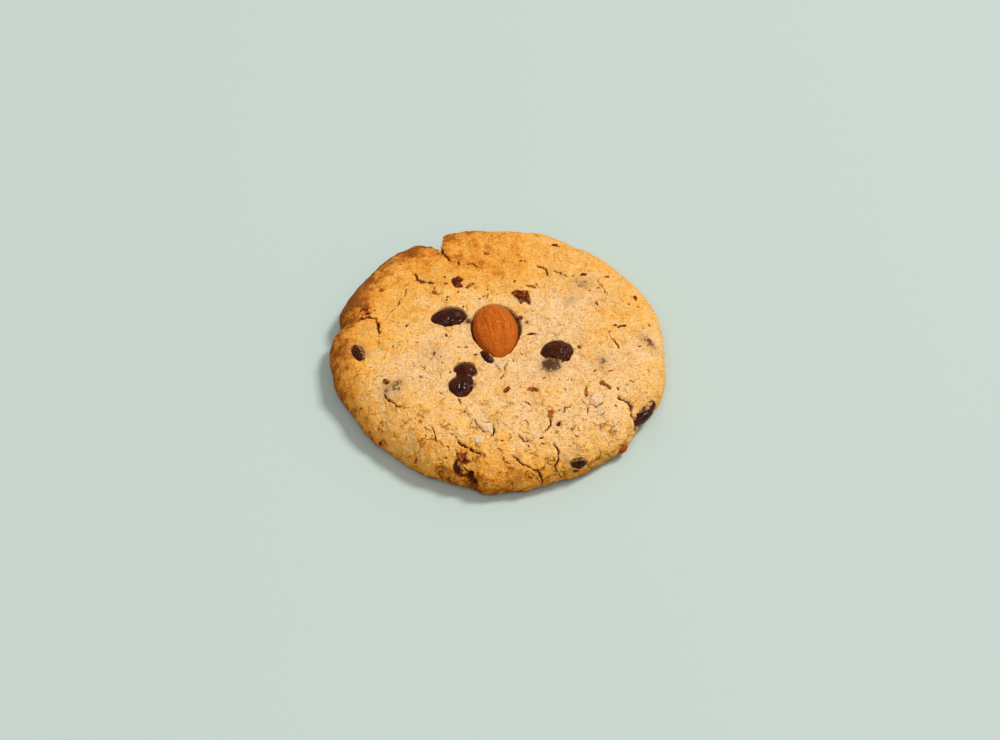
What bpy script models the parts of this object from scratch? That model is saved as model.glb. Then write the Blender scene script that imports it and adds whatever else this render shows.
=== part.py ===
"""Round baked cookie: a crumbly dough disc with a whole almond, raisins and nut chips pressed into it.

Lengths are millimetres until a mesh is made, which is in metres. +Z is up, the flat base lies on Z = 0, and
-Y is the near side. A place on the skin is given as on a cloth laid over the cookie: (x, y) is the point
reached by walking hypot(x, y) over the surface from the middle of the top, in the direction of (x, y).
"""

from __future__ import annotations

import math
import random
from dataclasses import dataclass

import bmesh
import bpy
import numpy as np
from mathutils import Matrix, Vector
from mathutils.geometry import delaunay_2d_cdt

MM = 0.001

# Dough disc
RIM_RADIUS = 52.0
THICKNESS = 13.0
SHOULDER_WIDTH = 13.0
SHOULDER_POWER = 2.2
WIDEST_HEIGHT = 4.0
UNDERCUT = 3.5
CROWN_RISE = 0.5
UNDULATION = 0.45
LUMPS = 0.28
CRUMBLE = 0.16

# Mesh density
SKIN_STEP = 2.6
CRACK_STEP = 1.5
CRACK_TAPER = 2.2
RING_POINTS = 120
BASE_STEP = 13.0
POD_RINGS = 10
POD_SIDES = 24

# Gaps between the pieces
CLEARANCE = 0.4
ALMOND_GAP = 0.9


@dataclass(frozen=True)
class Lobe:
    """A swelling or hollow of the rim: its direction, how far it spreads each way, and its height."""

    angle: float
    before: float
    after: float
    height: float


LOBES = (
    Lobe(40, 10, 8, -0.8),
    Lobe(75, 8, 8, 0.7),
    Lobe(93, 7, 5, -1.0),
    Lobe(100, 22, 12, 1.4),
    Lobe(111, 6, 1.5, 0.8),
    Lobe(116.3, 2, 1.8, -1.4),
    Lobe(121.4, 1.8, 2, 0.9),
    Lobe(131, 8, 8, 1.4),
    Lobe(157, 10, 10, 0.5),
    Lobe(169, 4, 3, -2.0),
    Lobe(190, 5, 5, -0.8),
    Lobe(206, 10, 10, -1.8),
    Lobe(228, 20, 20, -2.0),
    Lobe(253, 4, 4, -0.5),
    Lobe(265.5, 2.5, 8, 1.45),
    Lobe(279, 3.5, 2.5, 0.9),
    Lobe(329, 4.5, 4.5, -1.9),
    Lobe(343, 8, 8, 0.5),
)


@dataclass(frozen=True)
class Crack:
    """A crack along hand-placed way points on the skin, which a seeded zigzag joins."""

    path: tuple[tuple[float, float], ...]
    width: float
    depth: float


CRACKS = (
    Crack(((-18.7, 40), (-17.5, 37), (-14.3, 32.5)), 1.0, 1.8),
    Crack(((-14.3, 32.5), (-12.4, 33.3), (-11.5, 31), (-8.8, 32), (-5, 30)), 0.6, 1.0),
    Crack(((-27, 28.5), (-24.3, 24), (-19, 22.5)), 0.9, 1.3),
    Crack(((-52, 5.5), (-45, 6.5), (-42.5, 9), (-37.5, 8), (-36.3, 0.5)), 1.3, 2.0),
    Crack(((-34, -22.5), (-32, -26), (-28, -28.8)), 0.8, 1.2),
    Crack(((-38, -18.5), (-35.5, -15.7), (-33.5, -16)), 0.5, 0.9),
    Crack(((-19.5, -36), (-17.3, -42.2)), 0.6, 1.1),
    Crack(((-12, -40.2), (-9.5, -43.3), (-4, -46.2)), 1.0, 1.6),
    Crack(((-1, -35), (-0.9, -38), (-2.5, -40.3)), 0.7, 1.2),
    Crack(((-8.8, -51), (-8, -53.5), (-7.3, -56), (-7.1, -60)), 2.6, 4.0),
    Crack(((4, -46), (7.5, -49.3), (12, -50.5), (15, -56)), 0.7, 1.2),
    Crack(((6, -38.5), (8.5, -42.3), (11.3, -39.5)), 0.5, 0.9),
    Crack(((15.8, -32), (15.8, -35.5), (13.3, -38.7)), 0.7, 1.3),
    Crack(((16.5, -41.3), (18.3, -45), (17.3, -49), (20.8, -52.5)), 0.7, 1.2),
    Crack(((8.2, -25), (10.3, -29)), 0.6, 1.0),
    Crack(((22, -27), (19, -31.5)), 0.5, 0.8),
    Crack(((36, -23.5), (41, -26), (40.8, -29), (44, -33), (48, -37)), 1.8, 2.2),
    Crack(((2.8, -11.5), (1, -18.5)), 0.5, 0.8),
    Crack(((34.5, 0), (37.8, -5.5)), 0.5, 0.8),
    Crack(((12, 31), (15.5, 29.5), (16, 26)), 0.8, 1.2),
    Crack(((16.5, 28.5), (20, 27.5), (22.3, 25.5)), 0.5, 0.9),
    Crack(((31.5, 25), (34.3, 18)), 0.6, 0.9),
    Crack(((30.2, 15.8), (31.2, 13), (30.2, 11)), 0.5, 0.9),
    Crack(((26.5, -28), (26.5, -32.5)), 0.6, 0.9),
    Crack(((-12, -24.8), (-10.8, -28.5)), 0.6, 0.9),
)


@dataclass(frozen=True)
class Bump:
    """A low rounded rise of the skin, such as a raisin just under it."""

    x: float
    y: float
    radius: float
    height: float


BUMPS = (
    Bump(16.5, -12.3, 3.2, 1.1),
    Bump(27, 22.5, 4.0, 0.6),
    Bump(23.5, 15.5, 2.8, 0.5),
    Bump(47, -2.5, 4.0, 0.6),
    Bump(32, -10.5, 4.0, 0.5),
    Bump(-18, -7, 4.0, 0.5),
    Bump(-31, -22, 4.5, 0.6),
    Bump(0, -34, 3.0, 0.4),
    Bump(-44, -7, 5.0, 0.8),
    Bump(24, -44.5, 4.5, 0.4),
    Bump(-15, 8.5, 8.0, 0.5),
    Bump(-11, -18, 8.0, 0.5),
    Bump(18.2, -6, 8.0, 0.5),
    Bump(40.5, -38.5, 3.5, 0.7),
    Bump(23, 35, 3.5, 0.5),
    Bump(17, 43, 3.5, 0.5),
)


@dataclass(frozen=True)
class Pod:
    """A plump lengthwise solid: a raisin, or the almond, whose tip is drawn out more than its tail.

    It lies on the skin at (x, y), sunk into the dough, with its long axis turned towards its tip.
    """

    name: str
    x: float
    y: float
    turn: float
    sunk: float
    length: float
    width: float
    height: float
    tail_power: float = 0.5
    tip_power: float = 0.5
    waist: float = 0.0
    waist_at: float = -0.15
    ridges: int = 8
    ridge_depth: float = 0.16


ALMOND = Pod("almond", -0.4, 2.2, -81, 0.4, 22.2, 14.0, 8.4, tip_power=0.58, ridges=12, ridge_depth=0.02)

RAISINS = (
    Pod("raisin_left", -15.2, 7.8, 8, 0.7, 11.2, 8.2, 6.0, tail_power=0.58, tip_power=0.42),
    Pod("raisin_front", -10.0, -17.9, -99, 0.6, 14.6, 9.0, 6.0, waist=0.42),
    Pod("raisin_right", 18.2, -6.8, 10, 0.6, 10.0, 9.6, 6.4),
    Pod("raisin_by_almond", -3.2, -8.8, -53, 0.1, 6.0, 2.4, 3.2, ridges=4),
    Pod("raisin_left_rim", -42.0, -7, -67, 1.4, 9.4, 5.0, 4.6),
    Pod("raisin_right_rim", 46.4, -26.7, 57, 0.3, 11.6, 5.2, 5.2),
    Pod("raisin_near_rim", 24.6, -47.2, 8, 1.3, 7.6, 4.4, 4.6),
)


@dataclass(frozen=True)
class Chip:
    """An angular chip or flake of nut at (x, y) on the skin, standing a little proud of it."""

    x: float
    y: float
    length: float
    width: float
    turn: float
    proud: float


CHIPS = (
    Chip(7.5, 17, 5.6, 4.4, -45, 0.8),
    Chip(-12.5, 23, 5.0, 3.4, 80, 0.7),
    Chip(-41.0, 11.3, 3.4, 3.0, 20, 0.5),
    Chip(-10.3, -47, 3.6, 3.0, -60, 0.6),
    Chip(-11.7, -50.3, 3.2, 2.6, -80, 0.6),
    Chip(-4.2, -36, 5.2, 4.0, -45, 0.8),
    Chip(-5.4, -41, 3.6, 3.2, 30, 0.7),
    Chip(29.5, -25.5, 5.0, 4.0, 75, 0.8),
    Chip(30.6, -30.3, 2.6, 2.0, 20, 0.5),
    Chip(1.0, -12.2, 4.0, 2.4, 5, 0.4),
    Chip(40.5, -40, 4.6, 3.8, 40, 0.9),
    Chip(-33.2, -18.5, 3.2, 1.6, -60, 0.4),
    Chip(3.0, -22, 3.0, 1.8, 60, 0.4),
    Chip(10.5, -22.0, 4.0, 1.4, -5, 0.4),
    Chip(10.5, 21.5, 3.4, 1.2, -8, 0.4),
    Chip(38.8, 4.2, 3.0, 1.2, 10, 0.4),
    Chip(43.2, 17.6, 3.0, 1.2, -80, 0.4),
    Chip(18.2, -35.5, 2.6, 1.3, 80, 0.4),
    Chip(31.8, -19.2, 2.6, 1.3, -50, 0.4),
    Chip(-19.5, 18.6, 2.6, 1.5, -50, 0.4),
    Chip(18.5, 41, 2.4, 1.4, 10, 0.4),
    Chip(27.3, 26.6, 2.2, 1.3, 0, 0.4),
)

# Wedge that is missing from the far left of the rim, seen from above
GAP_TIP = (-18.5, 37.6)
GAP_LEFT = ((-21.0, 42.5), (-24.6, 54.0))
GAP_RIGHT = ((-17.5, 43.0), (-17.3, 56.0))
GAP_FLOOR_AT_TIP = 11.0
GAP_FLOOR_AT_RIM = -6.0
GAP_TOP = 18.0

DOUGH_COLOUR = (0.72, 0.42, 0.15, 1.0)
ALMOND_COLOUR = (0.36, 0.11, 0.025, 1.0)
RAISIN_COLOUR = (0.045, 0.017, 0.012, 1.0)


def rim_radius(angle: np.ndarray) -> np.ndarray:
    """Radius of the widest line in each direction.

    Args:
        angle: Directions in radians, anticlockwise from +X.

    Returns:
        Radii in millimetres.
    """
    degrees = np.degrees(angle)
    radius = np.full_like(degrees, RIM_RADIUS)
    for lobe in LOBES:
        off = (degrees - lobe.angle + 180) % 360 - 180
        spread = np.where(off < 0, lobe.before, lobe.after)
        radius += lobe.height * np.exp(-((off / spread) ** 2))
    return radius


class EdgeProfile:
    """The rounded side of the disc, from the flat of the top over the shoulder to the base."""

    def __init__(self, samples: int = 200) -> None:
        quarter = np.linspace(0, math.pi / 2, samples)
        over = SHOULDER_WIDTH * np.sin(quarter) ** (2 / SHOULDER_POWER)
        rise = (THICKNESS - WIDEST_HEIGHT) * np.cos(quarter) ** (2 / SHOULDER_POWER)
        under = SHOULDER_WIDTH - UNDERCUT + UNDERCUT * np.cos(quarter[1:])
        fall = WIDEST_HEIGHT - WIDEST_HEIGHT * np.sin(quarter[1:])
        self.outward = np.concatenate((over, under))
        self.height = np.concatenate((WIDEST_HEIGHT + rise, fall))
        steps = np.hypot(np.diff(self.outward), np.diff(self.height))
        self.travel = np.concatenate(((0.0,), np.cumsum(steps)))

    @property
    def length(self) -> float:
        """Length of the side, measured over its surface."""
        return float(self.travel[-1])

    def at(self, travel: np.ndarray) -> tuple[np.ndarray, np.ndarray]:
        """Distance out from the flat of the top, and height, at a travel along the side."""
        return np.interp(travel, self.travel, self.outward), np.interp(travel, self.travel, self.height)


EDGE = EdgeProfile()


def skin_limit(angle: np.ndarray) -> np.ndarray:
    """Travel from the middle of the top to the base's edge in each direction."""
    return rim_radius(angle) - SHOULDER_WIDTH + EDGE.length


def smooth_skin(x: np.ndarray, y: np.ndarray) -> np.ndarray:
    """Points of the disc without its relief, for places on the skin."""
    travel, angle = np.hypot(x, y), np.arctan2(y, x)
    flat = rim_radius(angle) - SHOULDER_WIDTH
    out, height = EDGE.at(np.maximum(travel - flat, 0.0))
    radius = np.where(travel < flat, travel, flat + out)
    return np.stack((radius * np.cos(angle), radius * np.sin(angle), height), axis=-1)


def skin_frame(x: np.ndarray, y: np.ndarray, step: float = 0.05) -> tuple[np.ndarray, np.ndarray, np.ndarray]:
    """Unit vectors of the smooth skin: along x, along y and outward."""
    along_x = smooth_skin(x + step, y) - smooth_skin(x - step, y)
    along_y = smooth_skin(x, y + step) - smooth_skin(x, y - step)
    normal = np.cross(along_x, along_y)
    normal /= np.linalg.norm(normal, axis=-1, keepdims=True)
    along_x /= np.linalg.norm(along_x, axis=-1, keepdims=True)
    return along_x, np.cross(normal, along_x), normal


def noise(x: np.ndarray, y: np.ndarray, size: float, seed: int) -> np.ndarray:
    """Smooth noise between -1 and 1 whose lumps are about one size across."""

    def corner(i: np.ndarray, j: np.ndarray) -> np.ndarray:
        mixed = (i * 1619 + j * 31337 + seed * 6971) & 0x7FFFFFFF
        mixed = (mixed >> 13) ^ mixed
        return ((mixed * (mixed * mixed * 60493 + 19990303) + 1376312589) & 0x7FFFFFFF) / 0x3FFFFFFF - 1

    u, v = x / size, y / size
    i, j = np.floor(u).astype(np.int64), np.floor(v).astype(np.int64)
    a, b = u - i, v - j
    a, b = a * a * (3 - 2 * a), b * b * (3 - 2 * b)
    near = corner(i, j) * (1 - a) + corner(i + 1, j) * a
    far = corner(i, j + 1) * (1 - a) + corner(i + 1, j + 1) * a
    return near * (1 - b) + far * b


def crack_line(crack: Crack, seed: int) -> np.ndarray:
    """Points along a crack, an even step apart, with a seeded sideways zigzag between its way points."""
    draw = random.Random(seed)
    points = [np.array(crack.path[0], float)]
    for start, end in zip(crack.path, crack.path[1:]):
        start, end = np.array(start, float), np.array(end, float)
        run = end - start
        length = float(np.hypot(*run))
        sideways = np.array((-run[1], run[0])) / length
        count = max(1, round(length / CRACK_STEP))
        for k in range(1, count):
            points.append(start + run * k / count + sideways * draw.uniform(-0.35, 0.35))
        points.append(end)
    return np.array(points)


CRACK_LINES = tuple(crack_line(crack, seed) for seed, crack in enumerate(CRACKS))


def distance_to_line(x: np.ndarray, y: np.ndarray, line: np.ndarray) -> np.ndarray:
    """Least distance from each place to a line of points."""
    nearest = np.full(x.shape, np.inf)
    for start, end in zip(line, line[1:]):
        run = end - start
        along = ((x - start[0]) * run[0] + (y - start[1]) * run[1]) / (run @ run)
        along = np.clip(along, 0, 1)
        nearest = np.minimum(nearest, np.hypot(x - start[0] - along * run[0], y - start[1] - along * run[1]))
    return nearest


def groove_reach(crack: Crack) -> float:
    """Half width of a crack at its lips."""
    return crack.width / 2 + 0.35


def relief(x: np.ndarray, y: np.ndarray) -> np.ndarray:
    """Height of the real surface over the smooth skin: waves, lumps, bumps and cracks."""
    travel, angle = np.hypot(x, y), np.arctan2(y, x)
    height = UNDULATION * noise(x, y, 17.0, 1) + LUMPS * noise(x, y, 7.0, 2) + CRUMBLE * noise(x, y, 3.2, 3)
    height += CROWN_RISE * (1 - np.minimum(travel / (RIM_RADIUS - SHOULDER_WIDTH), 1.0) ** 2)
    for bump in BUMPS:
        height += bump.height * np.exp(-((x - bump.x) ** 2 + (y - bump.y) ** 2) / bump.radius**2)
    for crack, line in zip(CRACKS, CRACK_LINES):
        near = distance_to_line(x, y, line) / groove_reach(crack)
        ends = np.minimum(np.hypot(x - line[0, 0], y - line[0, 1]), np.hypot(x - line[-1, 0], y - line[-1, 1]))
        height -= crack.depth * np.clip(1 - near, 0, 1) * np.clip(ends / CRACK_TAPER, 0.15, 1)
        height += 0.2 * np.exp(-((near - 1.4) ** 2) * 4)
    fade = np.clip((skin_limit(angle) - travel) / 4.0, 0, 1)
    return height * fade


def skin_points(x: np.ndarray, y: np.ndarray) -> np.ndarray:
    """Points of the real surface for places on the skin."""
    normal = skin_frame(x, y)[2]
    return smooth_skin(x, y) + normal * relief(x, y)[..., None]


def far_enough(places: list[np.ndarray], others: np.ndarray, gap: float) -> list[np.ndarray]:
    """The places that keep a gap to every other place."""
    return [p for p in places if not len(others) or np.hypot(*(others - p).T).min() >= gap]


def skin_places() -> tuple[np.ndarray, int]:
    """Places on the skin for the dough's vertices: the base's edge first, then cracks, then an even fill."""
    directions = np.arange(RING_POINTS) * math.tau / RING_POINTS
    limit = skin_limit(directions)
    across = np.stack((np.cos(directions), np.sin(directions)), axis=-1)
    kept = [across * (limit - inset)[:, None] for inset in (0.0, 2.0, 4.2)]
    for crack, line in zip(CRACKS, CRACK_LINES):
        run = np.gradient(line, axis=0)
        sideways = np.stack((-run[:, 1], run[:, 0]), axis=-1) / np.hypot(*run.T)[:, None]
        lips = (line, line + sideways * groove_reach(crack), line - sideways * groove_reach(crack))
        for lip in lips:
            inside = [p for p in lip if np.hypot(*p) < skin_limit(np.arctan2(p[1], p[0])) - 5.0]
            fresh = far_enough(inside, np.concatenate(kept), 0.6)
            if fresh:
                kept.append(np.array(fresh))
    draw = random.Random(7)
    fill = []
    rows = int(70 / (SKIN_STEP * 0.866))
    for row in range(-rows, rows + 1):
        for column in range(-rows, rows + 1):
            x = (column + row % 2 / 2) * SKIN_STEP + draw.uniform(-0.4, 0.4)
            y = row * SKIN_STEP * 0.866 + draw.uniform(-0.4, 0.4)
            if math.hypot(x, y) < skin_limit(math.atan2(y, x)) - 5.6:
                fill.append(np.array((x, y)))
    kept.append(np.array(far_enough(fill, np.concatenate(kept), SKIN_STEP * 0.55)))
    return np.concatenate(kept), RING_POINTS


def base_places(ring: np.ndarray) -> np.ndarray:
    """Places inside the flat base that keep its triangles well shaped."""
    inner = ring * (1 - 5.0 / np.hypot(*ring.T))[:, None]
    steps = np.arange(-4, 5) * BASE_STEP
    grid = [np.array((x, y)) for x in steps for y in steps if math.hypot(x, y) < np.hypot(*ring.T).min() - 12.0]
    return np.concatenate((inner[::3], np.array(grid)))


def triangles(places: np.ndarray, ring_count: int) -> list[list[int]]:
    """Triangulation of the places inside the ring that the first of them form."""
    flat = [Vector(p) for p in places]
    result = delaunay_2d_cdt(flat, [], [list(range(ring_count))], 1, 1e-6)
    origin = [sources[0] for sources in result[3]]
    return [[origin[v] for v in face] for face in result[2]]


def new_object(name: str, vertices: np.ndarray, faces: list, collection: bpy.types.Collection) -> bpy.types.Object:
    """A mesh object from vertices in millimetres."""
    mesh = bpy.data.meshes.new(name)
    mesh.from_pydata([Vector(v) * MM for v in vertices], [], faces)
    obj = bpy.data.objects.new(name, mesh)
    collection.objects.link(obj)
    return obj


def new_collection(name: str) -> bpy.types.Collection:
    """A collection linked to the scene."""
    collection = bpy.data.collections.new(name)
    bpy.context.scene.collection.children.link(collection)
    return collection


def build_disc(collection: bpy.types.Collection) -> bpy.types.Object:
    """The dough with its cracks and bumps, before the hollows and chips."""
    places, ring_count = skin_places()
    top = skin_points(places[:, 0], places[:, 1])
    ring = top[:ring_count, :2]
    inner = base_places(ring)
    base = np.concatenate((inner, np.zeros((len(inner), 1))), axis=1)
    faces = triangles(places, ring_count)
    for face in triangles(np.concatenate((ring, inner)), ring_count):
        shifted = [v if v < ring_count else v + len(top) - ring_count for v in face]
        faces.append(shifted[::-1])
    return new_object("dough", np.concatenate((top, base)), faces, collection)


def pod_mesh(pod: Pod, grow: float, smooth: bool) -> tuple[np.ndarray, list[list[int]]]:
    """Vertices and faces of a pod along its own X, tail to tip, as rings between two end points.

    Args:
        pod: The pod's sizes.
        grow: How far it is swollen all round, for the hollow that it lies in.
        smooth: True leaves out the lengthwise wrinkles.

    Returns:
        Vertices in millimetres and faces that look outward.
    """
    peak_at = (pod.tail_power - pod.tip_power) / (pod.tail_power + pod.tip_power)
    peak = (1 + peak_at) ** pod.tail_power * (1 - peak_at) ** pod.tip_power
    length, width, height = pod.length / 2 + grow, pod.width / 2 + grow, pod.height / 2 + grow
    sides = np.arange(POD_SIDES) * math.tau / POD_SIDES
    vertices = [np.array((-length, 0.0, 0.0))]
    for ring in range(1, POD_RINGS):
        u = -math.cos(math.pi * ring / POD_RINGS)
        girth = (1 + u) ** pod.tail_power * (1 - u) ** pod.tip_power / peak
        girth *= 1 - pod.waist * math.exp(-(((u - pod.waist_at) / 0.24) ** 2))
        wrinkle = np.zeros(POD_SIDES)
        if not smooth:
            wave = np.sin(sides * pod.ridges / 2 + 1.3 * u + len(pod.name))
            wrinkle = pod.ridge_depth * (1 - np.abs(wave)) * (1 - u * u)
        radius = girth * (1 - wrinkle)
        for angle, r in zip(sides, radius):
            vertices.append(np.array((length * u, width * r * math.cos(angle), height * r * math.sin(angle))))
    vertices.append(np.array((length, 0.0, 0.0)))
    last = len(vertices) - 1
    faces = []
    for side in range(POD_SIDES):
        after = (side + 1) % POD_SIDES
        faces.append([0, 1 + after, 1 + side])
        for ring in range(POD_RINGS - 2):
            low = 1 + ring * POD_SIDES
            high = low + POD_SIDES
            faces.append([low + side, low + after, high + after, high + side])
        faces.append([last - POD_SIDES + side, last - POD_SIDES + after, last])
    return np.array(vertices), faces


def lay_on_skin(obj: bpy.types.Object, x: float, y: float, turn: float, lift: float) -> None:
    """Place an object on the skin: its Z outward, its X turned from the skin's x direction."""
    along_x, along_y, normal = (Vector(v) for v in skin_frame(np.array(x), np.array(y)))
    spot = Vector(smooth_skin(np.array(x), np.array(y))) + normal * lift
    frame = Matrix((along_x, along_y, normal)).transposed() @ Matrix.Rotation(math.radians(turn), 3, "Z")
    obj.rotation_euler = frame.to_euler()
    obj.location = spot * MM


def build_pod(pod: Pod, grow: float, collection: bpy.types.Collection, smooth: bool = False) -> bpy.types.Object:
    """A pod laid in its place, or the swollen shape of its hollow."""
    vertices, faces = pod_mesh(pod, grow, smooth)
    obj = new_object(pod.name, vertices, faces, collection)
    lay_on_skin(obj, pod.x, pod.y, pod.turn, -pod.sunk)
    return obj


def build_chip(chip: Chip, seed: int, collection: bpy.types.Collection) -> bpy.types.Object:
    """An angular chip: three uneven six-sided rings, the widest in the middle."""
    draw = random.Random(seed)
    sides = 6
    depth = chip.proud + min(chip.width, 1.8)
    levels = ((-depth, 0.7), (chip.proud * 0.3, 1.0), (chip.proud, 0.68))
    spans = [draw.uniform(0.82, 1.12) for _ in range(sides)]
    vertices = []
    for level, scale in levels:
        for side in range(sides):
            angle = math.tau * (side + draw.uniform(-0.15, 0.15)) / sides
            reach = spans[side] * scale / 2
            tilt = 0.12 * chip.proud * math.cos(angle) if level > 0 else 0.0
            vertices.append((chip.length * reach * math.cos(angle), chip.width * reach * math.sin(angle), level + tilt))
    faces = [list(range(sides))[::-1], [2 * sides + side for side in range(sides)]]
    for low in (0, sides):
        for side in range(sides):
            after = (side + 1) % sides
            faces.append([low + side, low + after, low + sides + after, low + sides + side])
    obj = new_object("chip", np.array(vertices), faces, collection)
    surface = relief(np.array((chip.x,)), np.array((chip.y,)))[0]
    lay_on_skin(obj, chip.x, chip.y, chip.turn, float(surface))
    return obj


def build_rim_gap(collection: bpy.types.Collection) -> bpy.types.Object:
    """Cutter for the wedge that is missing from the rim: a prism whose floor falls towards the rim."""
    plan = (GAP_TIP, GAP_RIGHT[0], GAP_RIGHT[1], GAP_LEFT[1], GAP_LEFT[0])
    reach = math.hypot(*GAP_LEFT[1]) - math.hypot(*GAP_TIP)
    vertices = []
    for x, y in plan:
        share = (math.hypot(x, y) - math.hypot(*GAP_TIP)) / reach
        vertices.append((x, y, GAP_FLOOR_AT_TIP + (GAP_FLOOR_AT_RIM - GAP_FLOOR_AT_TIP) * share))
    vertices += [(x, y, GAP_TOP) for x, y in plan]
    count = len(plan)
    faces = [[0, 4, 1], [1, 4, 2], [2, 4, 3], [count + k for k in range(count)]]
    for k in range(count):
        after = (k + 1) % count
        faces.append([k, after, count + after, count + k])
    return new_object("rim_gap", np.array(vertices), faces, collection)


def join_with(obj: bpy.types.Object, collection: bpy.types.Collection, operation: str) -> None:
    """Apply one Boolean with a collection and remove the collection's objects."""
    modifier = obj.modifiers.new(operation.lower(), "BOOLEAN")
    modifier.operation = operation
    modifier.operand_type = "COLLECTION"
    modifier.collection = collection
    modifier.solver = "EXACT"
    bpy.context.view_layer.update()
    evaluated = obj.evaluated_get(bpy.context.evaluated_depsgraph_get())
    mesh = bpy.data.meshes.new_from_object(evaluated)
    obj.modifiers.remove(modifier)
    obj.data = mesh
    for tool in list(collection.objects):
        bpy.data.objects.remove(tool)
    bpy.data.collections.remove(collection)


def tidy_mesh(obj: bpy.types.Object) -> None:
    """Merge specks that the Booleans leave and split every face into triangles."""
    work = bmesh.new()
    work.from_mesh(obj.data)
    bmesh.ops.remove_doubles(work, verts=work.verts, dist=0.03 * MM)
    bmesh.ops.dissolve_degenerate(work, edges=work.edges, dist=0.02 * MM)
    bmesh.ops.triangulate(work, faces=work.faces)
    work.to_mesh(obj.data)
    work.free()


def colour(obj: bpy.types.Object, name: str, rgba: tuple[float, ...], roughness: float) -> None:
    """Give an object a plain material, made once for each name."""
    material = bpy.data.materials.get(name)
    if material is None:
        material = bpy.data.materials.new(name)
        material.use_nodes = True
        shader = material.node_tree.nodes["Principled BSDF"]
        shader.inputs["Base Color"].default_value = rgba
        shader.inputs["Roughness"].default_value = roughness
        shader.inputs["Metallic"].default_value = 0.0
    obj.data.materials.clear()
    obj.data.materials.append(material)


def main() -> None:
    """Build the cookie with its base's middle at the origin."""
    for obj in list(bpy.data.objects):
        bpy.data.objects.remove(obj)
    cookie = new_collection("cookie")

    dough = build_disc(cookie)
    hollows = new_collection("hollows")
    for raisin in RAISINS:
        build_pod(raisin, CLEARANCE, hollows, smooth=True)
    build_pod(ALMOND, ALMOND_GAP, hollows, smooth=True)
    build_rim_gap(hollows)
    join_with(dough, hollows, "DIFFERENCE")

    chips = new_collection("chips")
    for seed, chip in enumerate(CHIPS):
        build_chip(chip, seed, chips)
    join_with(dough, chips, "UNION")
    tidy_mesh(dough)
    colour(dough, "dough", DOUGH_COLOUR, 0.8)

    toppings = [build_pod(ALMOND, 0.0, cookie)]
    colour(toppings[0], "almond_skin", ALMOND_COLOUR, 0.45)
    for raisin in RAISINS:
        toppings.append(build_pod(raisin, 0.0, cookie))
        colour(toppings[-1], "raisin", RAISIN_COLOUR, 0.3)

    corners = np.array([v.co for v in dough.data.vertices])
    middle = (corners.min(axis=0) + corners.max(axis=0)) / 2
    root = bpy.data.objects.new("cookie_base", None)
    cookie.objects.link(root)
    root.location = (-middle[0], -middle[1], 0.0)
    for piece in [dough, *toppings]:
        piece.data.shade_smooth()
        piece.data.set_sharp_from_angle(angle=math.radians(50))
        piece.parent = root
    bpy.context.view_layer.update()


main()
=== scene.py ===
"""Looks of a round baked cookie: crumbly dough, a whole almond, raisins and nut chips, around its CAD frame.

Lengths are millimetres until a mesh is made, which is in metres. A place on the skin is given as on a cloth
laid over the cookie: (x, y) is the point reached by walking hypot(x, y) over the surface from the middle of
the top. The shape rules and their values are those of the part, so every piece lies on its CAD solid.
"""

from __future__ import annotations

import logging
import math
import random
from dataclasses import dataclass, field
from enum import Enum
from typing import Callable

import bmesh
import bpy
import numpy as np
from mathutils import Matrix, Vector, noise as perlin
from mathutils.geometry import delaunay_2d_cdt
from mathutils.kdtree import KDTree

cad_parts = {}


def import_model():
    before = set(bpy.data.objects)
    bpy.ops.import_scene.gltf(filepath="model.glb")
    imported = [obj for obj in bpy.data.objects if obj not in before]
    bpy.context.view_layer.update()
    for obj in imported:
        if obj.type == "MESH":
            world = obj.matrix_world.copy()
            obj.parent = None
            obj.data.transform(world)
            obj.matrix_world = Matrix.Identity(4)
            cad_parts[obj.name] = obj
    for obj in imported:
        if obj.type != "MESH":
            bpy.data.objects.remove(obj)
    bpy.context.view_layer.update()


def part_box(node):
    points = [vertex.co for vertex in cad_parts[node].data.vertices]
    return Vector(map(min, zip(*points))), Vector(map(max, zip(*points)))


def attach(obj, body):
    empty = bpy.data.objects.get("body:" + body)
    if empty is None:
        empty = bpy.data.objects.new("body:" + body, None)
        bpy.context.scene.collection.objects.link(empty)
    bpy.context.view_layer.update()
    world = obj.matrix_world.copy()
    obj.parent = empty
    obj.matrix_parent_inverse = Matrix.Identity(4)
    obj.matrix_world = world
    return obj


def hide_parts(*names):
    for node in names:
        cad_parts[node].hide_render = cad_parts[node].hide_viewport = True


LOG = logging.getLogger("cookie")
MM = 0.001

Array = np.ndarray
Path = tuple[tuple[float, float], ...]
Triple = tuple[float, float, float]
Colour = Triple


@dataclass(frozen=True)
class Lobe:
    """A swelling or hollow along the rim: its direction, its spread each way, and its height."""

    angle: float
    before: float
    after: float
    height: float


@dataclass(frozen=True)
class Crack:
    """A crack along way points on the skin, which a seeded zigzag joins."""

    path: Path
    width: float
    depth: float


@dataclass(frozen=True)
class Patch:
    """A round soft-edged patch of the skin and how strong it is."""

    x: float
    y: float
    radius: float
    strength: float


@dataclass(frozen=True)
class Shape:
    """Driving sizes of the dough disc, as in the part."""

    rim_radius: float = 52.0
    thickness: float = 13.0
    shoulder: float = 13.0
    power: float = 2.2
    widest: float = 4.0
    undercut: float = 3.5
    crown: float = 0.5
    undulation: float = 0.45
    lumps: float = 0.28
    crumble: float = 0.16
    undulation_size: float = 17.0
    lump_size: float = 7.0
    crumble_size: float = 3.2


SHAPE = Shape()


def table(kind: type, *rows: tuple) -> tuple:
    """One record of a kind for each row of its values."""
    return tuple(kind(*row) for row in rows)


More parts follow.
